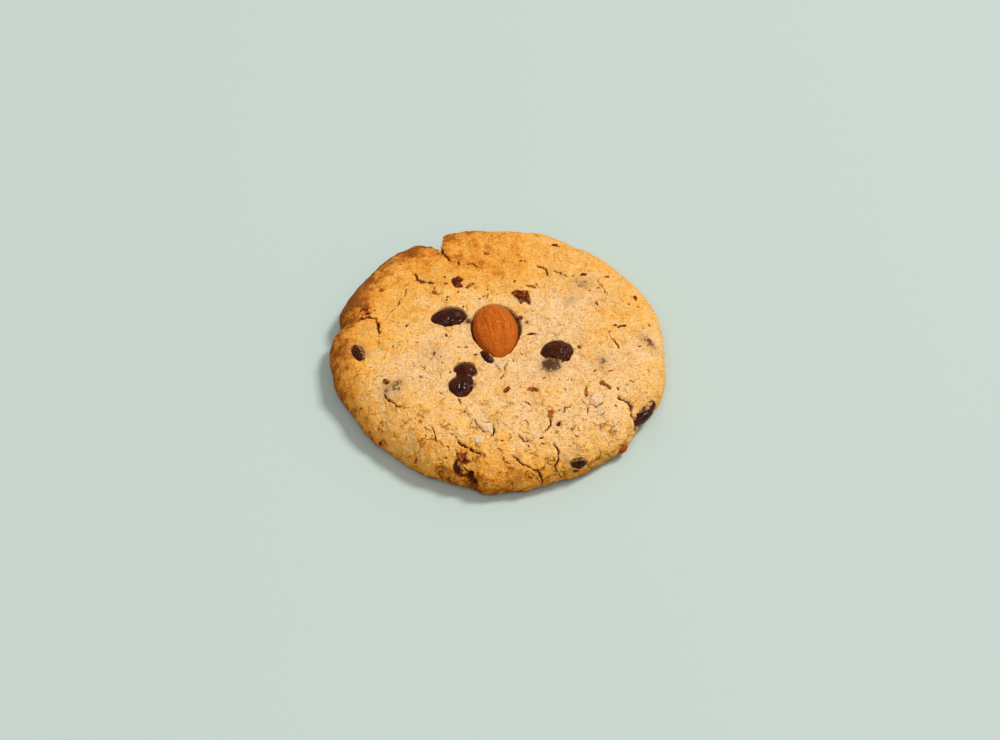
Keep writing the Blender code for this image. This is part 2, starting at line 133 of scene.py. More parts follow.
# Swellings and hollows of the rim
LOBES = table(
    Lobe,
    (40, 10, 8, -0.8), (75, 8, 8, 0.7), (93, 7, 5, -1.0), (100, 22, 12, 1.4), (111, 6, 1.5, 0.8),
    (116.3, 2, 1.8, -1.4), (121.4, 1.8, 2, 0.9), (131, 8, 8, 1.4), (157, 10, 10, 0.5),
    (169, 4, 3, -2.0), (190, 5, 5, -0.8), (206, 10, 10, -1.8), (228, 20, 20, -2.0), (253, 4, 4, -0.5),
    (265.5, 2.5, 8, 1.45), (279, 3.5, 2.5, 0.9), (329, 4.5, 4.5, -1.9), (343, 8, 8, 0.5),
)

# Cracks that the part has too
CRACKS = table(
    Crack,
    (((-18.7, 40), (-17.5, 37), (-14.3, 32.5)), 1.0, 1.8),
    (((-14.3, 32.5), (-12.4, 33.3), (-11.5, 31), (-8.8, 32), (-5, 30)), 0.6, 1.0),
    (((-27, 28.5), (-24.3, 24), (-19, 22.5)), 0.9, 1.3),
    (((-52, 5.5), (-45, 6.5), (-42.5, 9), (-37.5, 8), (-36.3, 0.5)), 1.3, 2.0),
    (((-34, -22.5), (-32, -26), (-28, -28.8)), 0.8, 1.2),
    (((-38, -18.5), (-35.5, -15.7), (-33.5, -16)), 0.5, 0.9),
    (((-19.5, -36), (-17.3, -42.2)), 0.6, 1.1),
    (((-12, -40.2), (-9.5, -43.3), (-4, -46.2)), 1.0, 1.6),
    (((-1, -35), (-0.9, -38), (-2.5, -40.3)), 0.7, 1.2),
    (((-8.8, -51), (-8, -53.5), (-7.3, -56), (-7.1, -60)), 2.6, 4.0),
    (((4, -46), (7.5, -49.3), (12, -50.5), (15, -56)), 0.7, 1.2),
    (((6, -38.5), (8.5, -42.3), (11.3, -39.5)), 0.5, 0.9),
    (((15.8, -32), (15.8, -35.5), (13.3, -38.7)), 0.7, 1.3),
    (((16.5, -41.3), (18.3, -45), (17.3, -49), (20.8, -52.5)), 0.7, 1.2),
    (((8.2, -25), (10.3, -29)), 0.6, 1.0),
    (((22, -27), (19, -31.5)), 0.5, 0.8),
    (((36, -23.5), (41, -26), (40.8, -29), (44, -33), (48, -37)), 1.8, 2.2),
    (((2.8, -11.5), (1, -18.5)), 0.5, 0.8),
    (((34.5, 0), (37.8, -5.5)), 0.5, 0.8),
    (((12, 31), (15.5, 29.5), (16, 26)), 0.8, 1.2),
    (((16.5, 28.5), (20, 27.5), (22.3, 25.5)), 0.5, 0.9),
    (((31.5, 25), (34.3, 18)), 0.6, 0.9),
    (((30.2, 15.8), (31.2, 13), (30.2, 11)), 0.5, 0.9),
    (((26.5, -28), (26.5, -32.5)), 0.6, 0.9),
    (((-12, -24.8), (-10.8, -28.5)), 0.6, 0.9),
)

# Finer cracks and the ragged edges of deep ones
FINE_CRACKS = table(
    Crack,
    (((-28, 21), (-30.5, 14.5), (-33, 10.5), (-34.5, 7.5)), 0.35, 0.7),
    (((-25.0, 24.6), (-22.6, 23.5), (-19.4, 22.7)), 1.3, 1.2),
    (((-16, 29.3), (-12, 30.5)), 0.25, 0.4),
    (((-26, 21.5), (-26.8, 20.3)), 0.3, 0.5),
    (((-27, 2), (-26.3, 0.8)), 0.3, 0.5),
    (((-36, -2), (-36.2, -4.5)), 0.3, 0.5),
    (((-32, -3), (-30.5, -6)), 0.3, 0.5),
    (((-17.5, -14.5), (-17, -16.5), (-16.5, -18)), 0.2, 0.35),
    (((-18, -22.5), (-16.5, -23.5), (-15, -22.5)), 0.35, 0.6),
    (((-40, -21.5), (-37, -21.2)), 0.3, 0.5),
    (((-24, -32), (-21.5, -37)), 0.3, 0.5),
    (((-14.5, -38.5), (-13, -39.5), (-12, -39)), 0.35, 0.6),
    (((-5, -37), (-3.5, -39)), 0.4, 0.7),
    (((1.5, -47.5), (3.5, -49.5)), 0.35, 0.6),
    (((5, -54), (5, -57)), 0.3, 0.5),
    (((11, -25), (12, -26)), 0.3, 0.5),
    (((22.8, -32.8), (24.5, -34)), 0.3, 0.5),
    (((25, -25.5), (26.2, -28)), 0.35, 0.6),
    (((28.7, -41.8), (29.2, -43)), 0.3, 0.5),
    (((4.2, -9), (5.2, -10.7)), 0.35, 0.6),
    (((37, -7), (36.3, -9)), 0.3, 0.5),
    (((39.8, -10.2), (40.3, -11)), 0.3, 0.5),
    (((32, 3), (33.5, 1.8)), 0.25, 0.4),
    (((40, 10), (41.5, 8)), 0.25, 0.4),
    (((10.5, 12), (11.5, 10.2)), 0.25, 0.4),
    (((8.5, 7.5), (9.5, 6), (9, 4.5)), 0.3, 0.5),
    (((21, 40), (20.5, 38)), 0.25, 0.4),
    (((-12.2, -46.5), (-13.0, -49.5), (-11.4, -52.3), (-8.9, -53.4)), 1.0, 1.2),
    (((-11.0, -49.0), (-9.4, -50.6), (-8.6, -52.4)), 0.7, 0.9),
    (((-34.3, -21), (-33, -24.6), (-30.2, -27.6)), 0.5, 0.9),
    (((-40.5, 10), (-38.6, 11.6)), 1.0, 1.2),
    (((43.2, -28.6), (44.6, -30.4), (46.2, -32.2)), 2.2, 2.4),
    (((-8.6, -52.0), (-7.6, -54.5), (-6.8, -57)), 3.0, 3.0),
    (((-43.4, 10.4), (-42.4, 12.8), (-40.8, 13.2)), 1.2, 1.5),
    (((-40.4, 9.4), (-41.2, 12.4), (-39.4, 12.6)), 1.6, 1.6),
)

# Low swellings of the skin
BUMPS = table(
    Patch,
    (16.5, -12.3, 3.2, 1.1), (27, 22.5, 4.0, 0.6), (23.5, 15.5, 2.8, 0.5), (47, -2.5, 4.0, 0.6),
    (32, -10.5, 4.0, 0.5), (-18, -7, 4.0, 0.5), (-31, -22, 4.5, 0.6), (0, -34, 3.0, 0.4),
    (-44, -7, 5.0, 0.8), (24, -44.5, 4.5, 0.4), (-15, 8.5, 8.0, 0.5), (-11, -18, 8.0, 0.5),
    (18.2, -6, 8.0, 0.5), (40.5, -38.5, 3.5, 0.7), (23, 35, 3.5, 0.5), (17, 43, 3.5, 0.5),
)

# Raisins just under the skin, which show as grey mottled patches, and painted shade between the left raisin
# and the almond at (-8.6, 5.8) and (-7.4, 2.8)
GREY_AND_SHADE_PATCHES = table(
    Patch,
    (16.5, -12.3, 3.2, 1.5), (27, 22.5, 3.6, 0.62), (23.5, 15.5, 2.0, 0.7), (44.4, 0.6, 2.8, 0.52),
    (47.4, -2.4, 2.6, 0.72), (32.2, -10.6, 3.4, 0.62), (-18.5, -8, 3.4, 0.5), (-31, -22, 3.6, 0.78),
    (-29, -18, 2.4, 0.4), (0, -34, 2.4, 0.35), (-33, 33, 3.0, 0.28), (-41, 22, 4.0, 0.16),
    (-43, -4.6, 2.2, 0.7), (-39.8, -7, 2.0, 0.6), (24, -44.6, 2.2, 0.5), (20.5, -46, 1.8, 0.5),
    (-8, -20.5, 1.6, 0.4), (-8.6, 5.8, 1.6, 1.1), (-7.4, 2.8, 1.2, 0.8), (9.2, 5.8, 1.4, 0.6),
)

# Where dough laps over a topping's edge, in millimetres
LAPS = table(
    Patch,
    (-40.2, -5.2, 2.8, 2.2), (-39.6, -8.5, 2.2, 1.2), (22.6, -45.2, 3.4, 1.9), (29.5, -47, 2.0, 0.9),
    (49.6, -26.5, 3.4, 1.6), (44.4, -24.2, 2.6, 1.7), (-6.6, -20.2, 1.6, 1.3), (-6.2, -13.5, 1.6, 0.7),
    (-20.8, 9.6, 2.0, 0.6), (17.0, -11.4, 2.6, 1.2), (48.8, -21.5, 2.4, 0.8),
)

# Where the skin is browner or paler than its surroundings: partly the oven's browning, partly painted shade
# on the top-left, left and near rims
TONE_AND_SHADE_PATCHES = table(
    Patch,
    (0, 42, 17, 0.42), (-27, 38, 15, 0.66), (-44, 18, 13, 0.74), (-44, -6, 12, 0.34),
    (-33, -32, 16, 0.17), (28, 33, 14, 0.24), (-12, 24, 12, 0.14), (4, 28, 12, 0.10),
    (-4, -48, 13, 0.34), (0, -28, 8, 0.10), (34, -46, 9, 0.04), (40, 14, 10, 0.14), (-25, 6, 9, 0.16),
    (-7, -11, 3.5, 0.22),
)

# How much darker the rim is in each direction: partly the oven's browning, partly painted shade where the rim
# faces away from the light
RIM_BROWNING_AND_SHADE = table(
    Lobe,
    (150, 62, 62, 0.90), (215, 40, 30, 0.32), (266, 26, 34, 0.55),
)


def corner_draw(i: Array, j: Array, seed: int) -> Array:
    """Fixed draw between -1 and 1 for a lattice corner.

    Args:
        i: Columns of the corners.
        j: Rows of the corners.
        seed: Seed of the draws.

    Returns:
        The draws.
    """
    mixed = (i * 1619 + j * 31337 + seed * 6971) & 0x7FFFFFFF
    mixed = (mixed >> 13) ^ mixed
    return ((mixed * (mixed * mixed * 60493 + 19990303) + 1376312589) & 0x7FFFFFFF) / 0x3FFFFFFF - 1


def lattice_noise(x: Array, y: Array, size: float, seed: int) -> Array:
    """Smooth noise between -1 and 1 whose lumps are about one size across, as in the part.

    Args:
        x: Places along x on the skin, in millimetres.
        y: Places along y on the skin, in millimetres.
        size: Size of a lump, in millimetres.
        seed: Seed of the draws.

    Returns:
        Noise at each place.
    """
    u, v = x / size, y / size
    i, j = np.floor(u).astype(np.int64), np.floor(v).astype(np.int64)
    a, b = u - i, v - j
    a, b = a * a * (3 - 2 * a), b * b * (3 - 2 * b)
    near = corner_draw(i, j, seed) * (1 - a) + corner_draw(i + 1, j, seed) * a
    far = corner_draw(i, j + 1, seed) * (1 - a) + corner_draw(i + 1, j + 1, seed) * a
    return near * (1 - b) + far * b


def turned_noise(x: Array, y: Array, size: float, seed: int) -> Array:
    """Lattice noise on axes turned by the seed, so that layers of it don't line up.

    Args:
        x: Places along x on the skin, in millimetres.
        y: Places along y on the skin, in millimetres.
        size: Size of a lump, in millimetres.
        seed: Seed of the draws.

    Returns:
        Noise at each place.
    """
    turn = 0.9 * seed
    along = x * math.cos(turn) - y * math.sin(turn)
    return lattice_noise(along, x * math.sin(turn) + y * math.cos(turn), size, seed)


def seam_distance(x: Array, y: Array, size: float, seed: int) -> Array:
    """About twice the distance to the nearest seam of a net of uneven cells one size across.

    Args:
        x: Places along x on the skin, in millimetres.
        y: Places along y on the skin, in millimetres.
        size: Size of a cell, in millimetres.
        seed: Seed of the draws.

    Returns:
        How much farther the second nearest cell's middle is than the nearest.
    """
    i, j = np.floor(x / size).astype(np.int64), np.floor(y / size).astype(np.int64)
    nearest, second = np.full(x.shape, np.inf), np.full(x.shape, np.inf)
    for step_i in (-1, 0, 1):
        for step_j in (-1, 0, 1):
            ci, cj = i + step_i, j + step_j
            px = (ci + 0.5 + 0.45 * corner_draw(ci, cj, seed)) * size
            py = (cj + 0.5 + 0.45 * corner_draw(ci, cj, seed + 1)) * size
            away = np.hypot(x - px, y - py)
            second = np.minimum(second, np.maximum(nearest, away))
            nearest = np.minimum(nearest, away)
    return second - nearest


def lobe_sum(degrees: Array, lobes: tuple[Lobe, ...]) -> Array:
    """Sum of lobes in each direction.

    Args:
        degrees: Directions, in degrees.
        lobes: The lobes.

    Returns:
        Heights in each direction.
    """
    total = np.zeros_like(degrees)
    for lobe in lobes:
        off = (degrees - lobe.angle + 180) % 360 - 180
        total += lobe.height * np.exp(-((off / np.where(off < 0, lobe.before, lobe.after)) ** 2))
    return total


def patch_sum(x: Array, y: Array, patches: tuple[Patch, ...]) -> Array:
    """Sum of soft patches at places on the skin.

    Args:
        x: Places along x on the skin, in millimetres.
        y: Places along y on the skin, in millimetres.
        patches: The patches.

    Returns:
        Strength at each place.
    """
    total = np.zeros_like(x)
    for patch in patches:
        total += patch.strength * np.exp(-((x - patch.x) ** 2 + (y - patch.y) ** 2) / patch.radius**2)
    return total


def distance_to_line(x: Array, y: Array, line: Array) -> Array:
    """Least distance from each place to a line of points.

    Args:
        x: Places along x on the skin, in millimetres.
        y: Places along y on the skin, in millimetres.
        line: Points of the line, one a row.

    Returns:
        Distances, in millimetres.
    """
    nearest = np.full(x.shape, np.inf)
    for start, end in zip(line, line[1:]):
        run = end - start
        along = np.clip(((x - start[0]) * run[0] + (y - start[1]) * run[1]) / max(run @ run, 1e-12), 0, 1)
        nearest = np.minimum(nearest, np.hypot(x - start[0] - along * run[0], y - start[1] - along * run[1]))
    return nearest


def depth_inside(x: Array, y: Array, outline: Array) -> Array:
    """Distance inside a closed outline, negative outside it.

    Args:
        x: Places along x on the skin, in millimetres.
        y: Places along y on the skin, in millimetres.
        outline: Corners of the outline, one a row.

    Returns:
        Distances, in millimetres.
    """
    inside = np.zeros(x.shape, bool)
    for start, end in zip(outline, np.roll(outline, -1, axis=0)):
        crosses = (start[1] > y) != (end[1] > y)
        rise = end[1] - start[1]
        at = start[0] + (y - start[1]) * (end[0] - start[0]) / (rise if abs(rise) > 1e-12 else 1e-12)
        inside ^= crosses & (x < at)
    edge = distance_to_line(x, y, np.concatenate((outline, outline[:1])))
    return np.where(inside, edge, -edge)


@dataclass(frozen=True)
class Pod:
    """A plump lengthwise solid lying on the skin: a raisin, or the almond, whose tip is drawn out."""

    name: str
    x: float
    y: float
    turn: float
    sunk: float
    length: float
    width: float
    height: float
    tail_power: float = 0.5
    tip_power: float = 0.5
    waist: float = 0.0
    waist_at: float = -0.15
    waist_spread: float = 0.24

    def girth(self, u: Array) -> Array:
        """Share of the full girth at u, which runs from -1 at the tail to 1 at the tip.

        Args:
            u: Positions along the pod.

        Returns:
            Shares of the full girth.
        """
        peak_at = (self.tail_power - self.tip_power) / (self.tail_power + self.tip_power)
        peak = (1 + peak_at) ** self.tail_power * (1 - peak_at) ** self.tip_power
        inside = np.clip(u, -1, 1)
        share = (1 + inside) ** self.tail_power * (1 - inside) ** self.tip_power / peak
        return share * (1 - self.waist * np.exp(-(((inside - self.waist_at) / self.waist_spread) ** 2)))

    def to_local(self, x: Array, y: Array) -> tuple[Array, Array]:
        """Places on the skin as distances along and across the pod.

        Args:
            x: Places along x on the skin, in millimetres.
            y: Places along y on the skin, in millimetres.

        Returns:
            Distances along the pod, and across it.
        """
        turn = math.radians(self.turn)
        along = (x - self.x) * math.cos(turn) + (y - self.y) * math.sin(turn)
        across = (y - self.y) * math.cos(turn) - (x - self.x) * math.sin(turn)
        return along, across

    def opening(self, gap: float = 0.0, samples: int = 150) -> Array:
        """Outline on the skin where the pod comes out of it, a gap wider all round.

        Args:
            gap: How much wider, in millimetres.
            samples: How many points to lay round the pod.

        Returns:
            Points of the outline, one a row.
        """
        u = np.cos(np.linspace(0, math.tau, samples, endpoint=False))
        side = np.where(np.arange(samples) < samples / 2, 1.0, -1.0)
        cover = 2 * self.sunk / self.height
        half = np.sqrt(np.maximum(self.girth(u) ** 2 - cover**2, 0.0))
        shown = half > 0
        along = self.length / 2 * u[shown]
        across = side[shown] * self.width / 2 * half[shown]
        reach = np.hypot(along, across)
        grown = (reach + gap) / np.maximum(reach, 1e-6)
        turn = math.radians(self.turn)
        x = self.x + grown * (along * math.cos(turn) - across * math.sin(turn))
        y = self.y + grown * (along * math.sin(turn) + across * math.cos(turn))
        return np.stack((x, y), axis=-1)

    def half_thickness(self, x: Array, y: Array) -> Array:
        """Half of the pod's thickness at places on the skin.

        Args:
            x: Places along x on the skin, in millimetres.
            y: Places along y on the skin, in millimetres.

        Returns:
            Half thicknesses, in millimetres.
        """
        along, across = self.to_local(x, y)
        share = self.girth(along / (self.length / 2)) ** 2 - (2 * across / self.width) ** 2
        return self.height / 2 * np.sqrt(np.clip(share, 0.03, 1))


ALMOND = Pod("almond", -0.4, 2.2, -81, 0.4, 22.2, 14.0, 8.4, tip_power=0.58)

RAISINS = (
    Pod("raisin_left", -15.2, 7.8, 8, 0.7, 11.2, 8.2, 6.0, tail_power=0.58, tip_power=0.42),
    Pod("raisin_front", -10.0, -17.9, -99, 0.6, 14.6, 9.0, 6.0, waist=0.42),
    Pod("raisin_right", 18.2, -6.8, 10, 0.6, 10.0, 9.6, 6.4),
    Pod("raisin_by_almond", -3.2, -8.8, -53, 0.1, 6.0, 2.4, 3.2),
    Pod("raisin_left_rim", -42.0, -7, -67, 1.4, 9.4, 5.0, 4.6),
    Pod("raisin_right_rim", 46.4, -26.7, 57, 0.3, 11.6, 5.2, 5.2),
    Pod("raisin_near_rim", 24.6, -47.2, 8, 1.3, 7.6, 4.4, 4.6),
)

PODS = (*RAISINS, ALMOND)


class Nut(Enum):
    """Which side of a nut chip shows."""

    DARK_SKIN = "dark_skin"
    ORANGE_SKIN = "orange_skin"
    FLESH = "flesh"


# Length from which a chip has more corners, and from which a side of it is broken in two
LARGE_CHIP = 2.2
LONG_SIDE = 0.9


@dataclass(frozen=True)
class Chip:
    """A ragged chip or flake of nut at (x, y) on the skin, standing a little proud of it."""

    x: float
    y: float
    length: float
    width: float
    turn: float
    proud: float
    shows: Nut
    corners: Path = ()

    def outline(self, seed: int) -> Array:
        """Ragged outline on the skin, from its own corners or from seeded ones.

        Args:
            seed: Seed of the draws.

        Returns:
            Corners in anticlockwise order, one a row.
        """
        draw = random.Random(seed)
        corners = [np.array(p, float) for p in self.corners]
        if not corners:
            count = 8 if self.length > LARGE_CHIP else 6
            turn = math.radians(self.turn)
            for k in range(count):
                angle = math.tau * (k + draw.uniform(-0.3, 0.3)) / count
                reach = draw.uniform(0.72, 1.1)
                along = self.length / 2 * reach * math.cos(angle)
                across = self.width / 2 * reach * math.sin(angle)
                x = self.x + along * math.cos(turn) - across * math.sin(turn)
                y = self.y + along * math.sin(turn) + across * math.cos(turn)
                corners.append(np.array((x, y)))
        ragged = []
        for start, end in zip(corners, corners[1:] + corners[:1]):
            run = end - start
            ragged.append(start)
            if np.hypot(*run) > LONG_SIDE:
                sideways = np.array((-run[1], run[0])) * draw.uniform(-0.12, 0.12)
                ragged.append(start + run * draw.uniform(0.35, 0.65) + sideways)
        outline = np.array(ragged)
        ahead = np.roll(outline, -1, axis=0)
        area = float((outline[:, 0] * ahead[:, 1] - ahead[:, 0] * outline[:, 1]).sum())
        return outline if area > 0 else outline[::-1]


# Corners of the larger chips
DARK_CHUNK = (
    (4.5, 18.5), (6, 19.3), (9.5, 19.2), (10, 17), (10.3, 13.8), (8.5, 15.5), (7.3, 14.2), (6.2, 16.4),
)
PURPLE_CHUNK = (
    (-14.2, 24.8), (-12.4, 25.9), (-10.8, 24.6), (-11.4, 22.8), (-10.9, 21.2), (-13, 20.6),
    (-14, 22.4),
)
FRONT_CHUNK = (
    (-11.9, -44.9), (-10.5, -45.6), (-8.6, -45), (-9.3, -47.1), (-7.7, -48.1), (-9.5, -48.7),
    (-11.5, -47.6),
)
LOW_CHUNK = ((-12.8, -49), (-11.2, -48.8), (-10.4, -50.7), (-10.8, -52.1), (-12.2, -51.7))
WHITE_LONG = ((-6.5, -33.5), (-4, -35), (-1.5, -35), (-1.3, -39.5), (-3.5, -38))
WHITE_LOW = ((-6.8, -40), (-4.6, -39.2), (-3.4, -41), (-4.4, -43), (-6.4, -42.4))
WHITE_RIGHT = (
    (27.3, -25.5), (29, -22.8), (31.8, -24), (31.4, -27), (29.4, -28.2), (27.6, -27.4),
)
WHITE_WEDGE = ((-1.4, -10.9), (3.2, -11.2), (2.2, -12.6), (1.2, -14.2), (0, -12.6))

# The chips, of which the part has those that are large enough
CHIPS = table(
    Chip,
    (7.5, 17, 5.6, 4.4, -45, 0.7, Nut.DARK_SKIN, DARK_CHUNK),
    (-12.5, 23, 5.0, 3.4, 80, 0.6, Nut.DARK_SKIN, PURPLE_CHUNK),
    (-41.2, 11.3, 3.2, 2.6, 20, 0.3, Nut.DARK_SKIN),
    (-10.3, -47, 3.6, 3.0, -60, 0.6, Nut.DARK_SKIN, FRONT_CHUNK),
    (-11.7, -50.3, 3.2, 2.6, -80, 0.6, Nut.DARK_SKIN, LOW_CHUNK),
    (-4.2, -36, 5.2, 4.0, -45, 0.7, Nut.FLESH, WHITE_LONG),
    (-5.4, -41, 3.6, 3.2, 30, 0.6, Nut.FLESH, WHITE_LOW),
    (29.5, -25.5, 5.0, 4.0, 75, 0.7, Nut.FLESH, WHITE_RIGHT),
    (30.6, -30.3, 2.6, 2.0, 20, 0.5, Nut.FLESH),
    (1.0, -12.2, 4.0, 2.4, 5, 0.4, Nut.FLESH, WHITE_WEDGE),
    (40.5, -40, 4.6, 3.8, 40, 0.9, Nut.ORANGE_SKIN),
    (-33.2, -18.5, 3.2, 1.6, -60, 0.4, Nut.DARK_SKIN),
    (3.0, -22, 3.0, 1.8, 60, 0.4, Nut.DARK_SKIN),
    (10.5, -22.0, 4.0, 1.4, -5, 0.4, Nut.ORANGE_SKIN),
    (10.5, 21.5, 3.4, 1.2, -8, 0.35, Nut.ORANGE_SKIN),
    (38.8, 4.2, 3.0, 1.2, 10, 0.4, Nut.DARK_SKIN),
    (43.2, 17.6, 3.0, 1.2, -80, 0.4, Nut.DARK_SKIN),
    (18.2, -35.5, 2.6, 1.3, 80, 0.4, Nut.DARK_SKIN),
    (31.8, -19.2, 2.6, 1.3, -50, 0.4, Nut.ORANGE_SKIN),
    (-19.5, 18.6, 2.6, 1.5, -50, 0.4, Nut.ORANGE_SKIN),
    (18.5, 41, 2.4, 1.4, 10, 0.4, Nut.DARK_SKIN),
    (27.3, 26.6, 2.2, 1.3, 0, 0.4, Nut.DARK_SKIN),
    (-9, 21.6, 2.4, 1.0, 50, 0.25, Nut.ORANGE_SKIN),
    (-36, 20.5, 2.0, 1.0, -10, 0.25, Nut.ORANGE_SKIN),
    (-3.5, 36.5, 1.5, 0.7, -10, 0.25, Nut.ORANGE_SKIN),
    (-3, 17, 2.2, 0.8, 80, 0.25, Nut.ORANGE_SKIN),
    (15.8, -31.2, 3.2, 2.0, 60, 0.35, Nut.ORANGE_SKIN),
    (26.7, -22.5, 5.0, 1.1, 86, 0.5, Nut.ORANGE_SKIN),
    (33.6, -20.6, 2.5, 1.0, -50, 0.3, Nut.ORANGE_SKIN),
    (31.8, 20.8, 1.2, 0.8, 0, 0.2, Nut.ORANGE_SKIN),
    (34.6, 26.4, 2.2, 1.3, 20, 0.25, Nut.ORANGE_SKIN),
    (1.5, -41.6, 1.4, 1.0, 0, 0.25, Nut.ORANGE_SKIN),
    (7.6, -40.4, 3.4, 1.2, -50, 0.3, Nut.ORANGE_SKIN),
    (10.4, 0.8, 3.0, 0.8, 6, 0.25, Nut.DARK_SKIN),
    (7.4, 7.8, 2.2, 0.8, -70, 0.25, Nut.DARK_SKIN),
    (25.3, -5, 2.0, 1.0, -50, 0.25, Nut.DARK_SKIN),
    (-25, -46.5, 2.0, 0.8, 60, 0.25, Nut.DARK_SKIN),
    (-38, -39, 1.5, 1.0, 30, 0.2, Nut.DARK_SKIN),
    (36.4, 4.8, 1.5, 1.1, 0, 0.25, Nut.DARK_SKIN),
    (24.8, -50, 1.8, 0.8, 10, 0.2, Nut.DARK_SKIN),
)

# Places of the small flakes of nut, each one or two millimetres long
FLAKES = {
    Nut.DARK_SKIN: (
        (-5.5, 15.8), (-15.5, 16.2), (-15.6, 14.8), (-16.5, 25.7), (7.5, 32.7), (24, 26), (41, 13.8),
        (47.3, 6.5), (-9.3, -5), (-14, -15.3), (-14.3, -43.2), (-41.5, -26.3), (-36.5, -34.5),
        (29.5, -14.3), (36.3, -21), (35.5, -27.3), (43.5, -4), (-19, -8), (-16.5, -11.5), (-7.6, 22.8),
        (-27.6, 4.2), (20.4, -21.6), (11, 11), (-16, 22.5), (-3, 20), (6.5, 8), (7.5, 14), (9, 6),
        (-10.5, 12), (-15.5, 0), (-11.5, -5), (-6.5, -8), (-9.5, -31), (-12, -40), (-15, -46.5),
        (13, -40.5), (-38, 11.3), (-45.5, 9.3), (-46.5, 5.7), (18.5, -30),
    ),
    Nut.FLESH: (
        (21.1, 16.6), (39.5, -12.2), (42.6, -12.2), (29.9, -30.4), (-21.6, 17.6), (-6.2, -10.4),
        (13.5, -33.5), (35.8, -33.5), (24.5, 20.5), (-1.5, -43.5), (4.5, -49.5),
    ),
    Nut.ORANGE_SKIN: (
        (-18, 17.5), (5.5, 23.5), (8.9, 32.8), (29, 19.6), (44, 13.5), (34.5, 1.5), (-22, -13),
        (-35, -32.5), (34.3, -14.3), (36.2, -24), (9.3, -43.3), (40.5, -18), (-17, -9.2),
        (-12.2, 18.6), (12.4, 22.6), (-24.4, -2.6), (14.2, -17.4), (-19.5, 20.5), (-9, 21),
        (-6.8, 20.8), (-4.1, 17), (-23, -16.5), (7.5, -8), (13.5, -42.5), (29.5, -52.5), (-1, -54.5),
        (0, -56), (-3, -54), (-3.5, -46.5), (2, -47.5), (11, -52), (-49.5, 11), (-42.5, 20.5),
        (-38, 32.5), (-31, 32.5), (-41.5, 26), (-45, 24), (-25.5, 40), (23.5, -39.5),
    ),
}


class Value:
    """A node socket that Python's operators work on, each operation adding a Math node."""

    def __init__(self, graph: Graph, socket: bpy.types.NodeSocket) -> None:
        """Wrap a socket of a graph."""
        self.graph = graph
        self.socket = socket

    def _with(self, operation: str, first: object, second: object) -> Value:
        """Result of a Math node on two operands."""
        node = self.graph.add("ShaderNodeMath", {"operation": operation}, {0: first, 1: second})
        return Value(self.graph, node.outputs[0])

    def __add__(self, other: object) -> Value:
        """Sum."""
        return self._with("ADD", self, other)

    __radd__ = __add__

    def __sub__(self, other: object) -> Value:
        """Difference."""
        return self._with("SUBTRACT", self, other)

    def __rsub__(self, other: object) -> Value:
        """Difference from a number."""
        return self._with("SUBTRACT", other, self)

    def __mul__(self, other: object) -> Value:
        """Product."""
        return self._with("MULTIPLY", self, other)

    __rmul__ = __mul__

    def band(self, low: float, high: float) -> Value:
        """Smooth step from 0 at low to 1 at high.

        Args:
            low: Value that gives 0.
            high: Value that gives 1.

        Returns:
            The stepped value.
        """
        inputs = {"Value": self, "From Min": low, "From Max": high}
        node = self.graph.add("ShaderNodeMapRange", {"interpolation_type": "SMOOTHSTEP"}, inputs)
        return Value(self.graph, node.outputs["Result"])


class Graph:
    """Builder for a node tree: one method adds any node, and a few name the usual ones."""

    def __init__(self, tree: bpy.types.NodeTree) -> None:
        """Build into a node tree."""
        self.tree = tree

    def add(self, kind: str, settings: dict | None = None, inputs: dict | None = None) -> bpy.types.Node:
        """Add a node.

        Args:
            kind: Type name of the node.
            settings: Properties, set first; "stops" holds a ramp's positions and colours.
            inputs: Values, sockets or Values for the node's sockets, by name or number.

        Returns:
            The new node.
        """
        node = self.tree.nodes.new(kind)
        for name, value in (settings or {}).items():
            if name == "stops":
                self._set_stops(node, value)
            else:
                setattr(node, name, value)
        for key, value in (inputs or {}).items():
            source = value.socket if isinstance(value, Value) else value
            if isinstance(source, bpy.types.NodeSocket):
                self.tree.links.new(source, node.inputs[key])
            else:
                node.inputs[key].default_value = source
        return node

    @staticmethod
    def _set_stops(node: bpy.types.Node, stops: tuple[tuple[float, Colour], ...]) -> None:
        """Set a colour ramp's stops.

        Args:
            node: The ramp node.
            stops: Positions and colours of its stops.
        """
        ramp = node.color_ramp
        while len(ramp.elements) < len(stops):
            ramp.elements.new(0.5)
        for element, (position, colour) in zip(ramp.elements, stops):
            element.position = position
            element.color = (*colour, 1.0)

    def noise(self, vector: object, scale: float, detail: float = 3.0, roughness: float = 0.55) -> Value:
        """Noise between 0 and 1 at a number of lumps to the metre."""
        inputs = {"Vector": vector, "Scale": scale, "Detail": detail, "Roughness": roughness}
        return Value(self, self.add("ShaderNodeTexNoise", None, inputs).outputs[0])

    def attribute(self, name: str) -> Value:
        """A number kept on the mesh."""
        return Value(self, self.add("ShaderNodeAttribute", {"attribute_name": name}).outputs["Fac"])

    def mix(self, share: object, first: object, second: object, blend: str = "MIX") -> bpy.types.NodeSocket:
        """Colour mixed from two colours or sockets.

        Args:
            share: How much of the second colour to take, from 0 to 1.
            first: Colour or socket to start from.
            second: Colour or socket to mix in.
            blend: Name of the blending mode.

        Returns:
            Socket of the mixed colour.
        """
        settings = {"data_type": "RGBA", "blend_type": blend, "clamp_factor": True}
        colours = [(*c, 1.0) if isinstance(c, tuple) else c for c in (first, second)]
        return self.add("ShaderNodeMix", settings, {0: share, 6: colours[0], 7: colours[1]}).outputs[2]

    def ramp(self, position: object, stops: tuple[tuple[float, Colour], ...]) -> bpy.types.NodeSocket:
        """Colour read from a ramp."""
        return self.add("ShaderNodeValToRGB", {"stops": stops}, {0: position}).outputs[0]


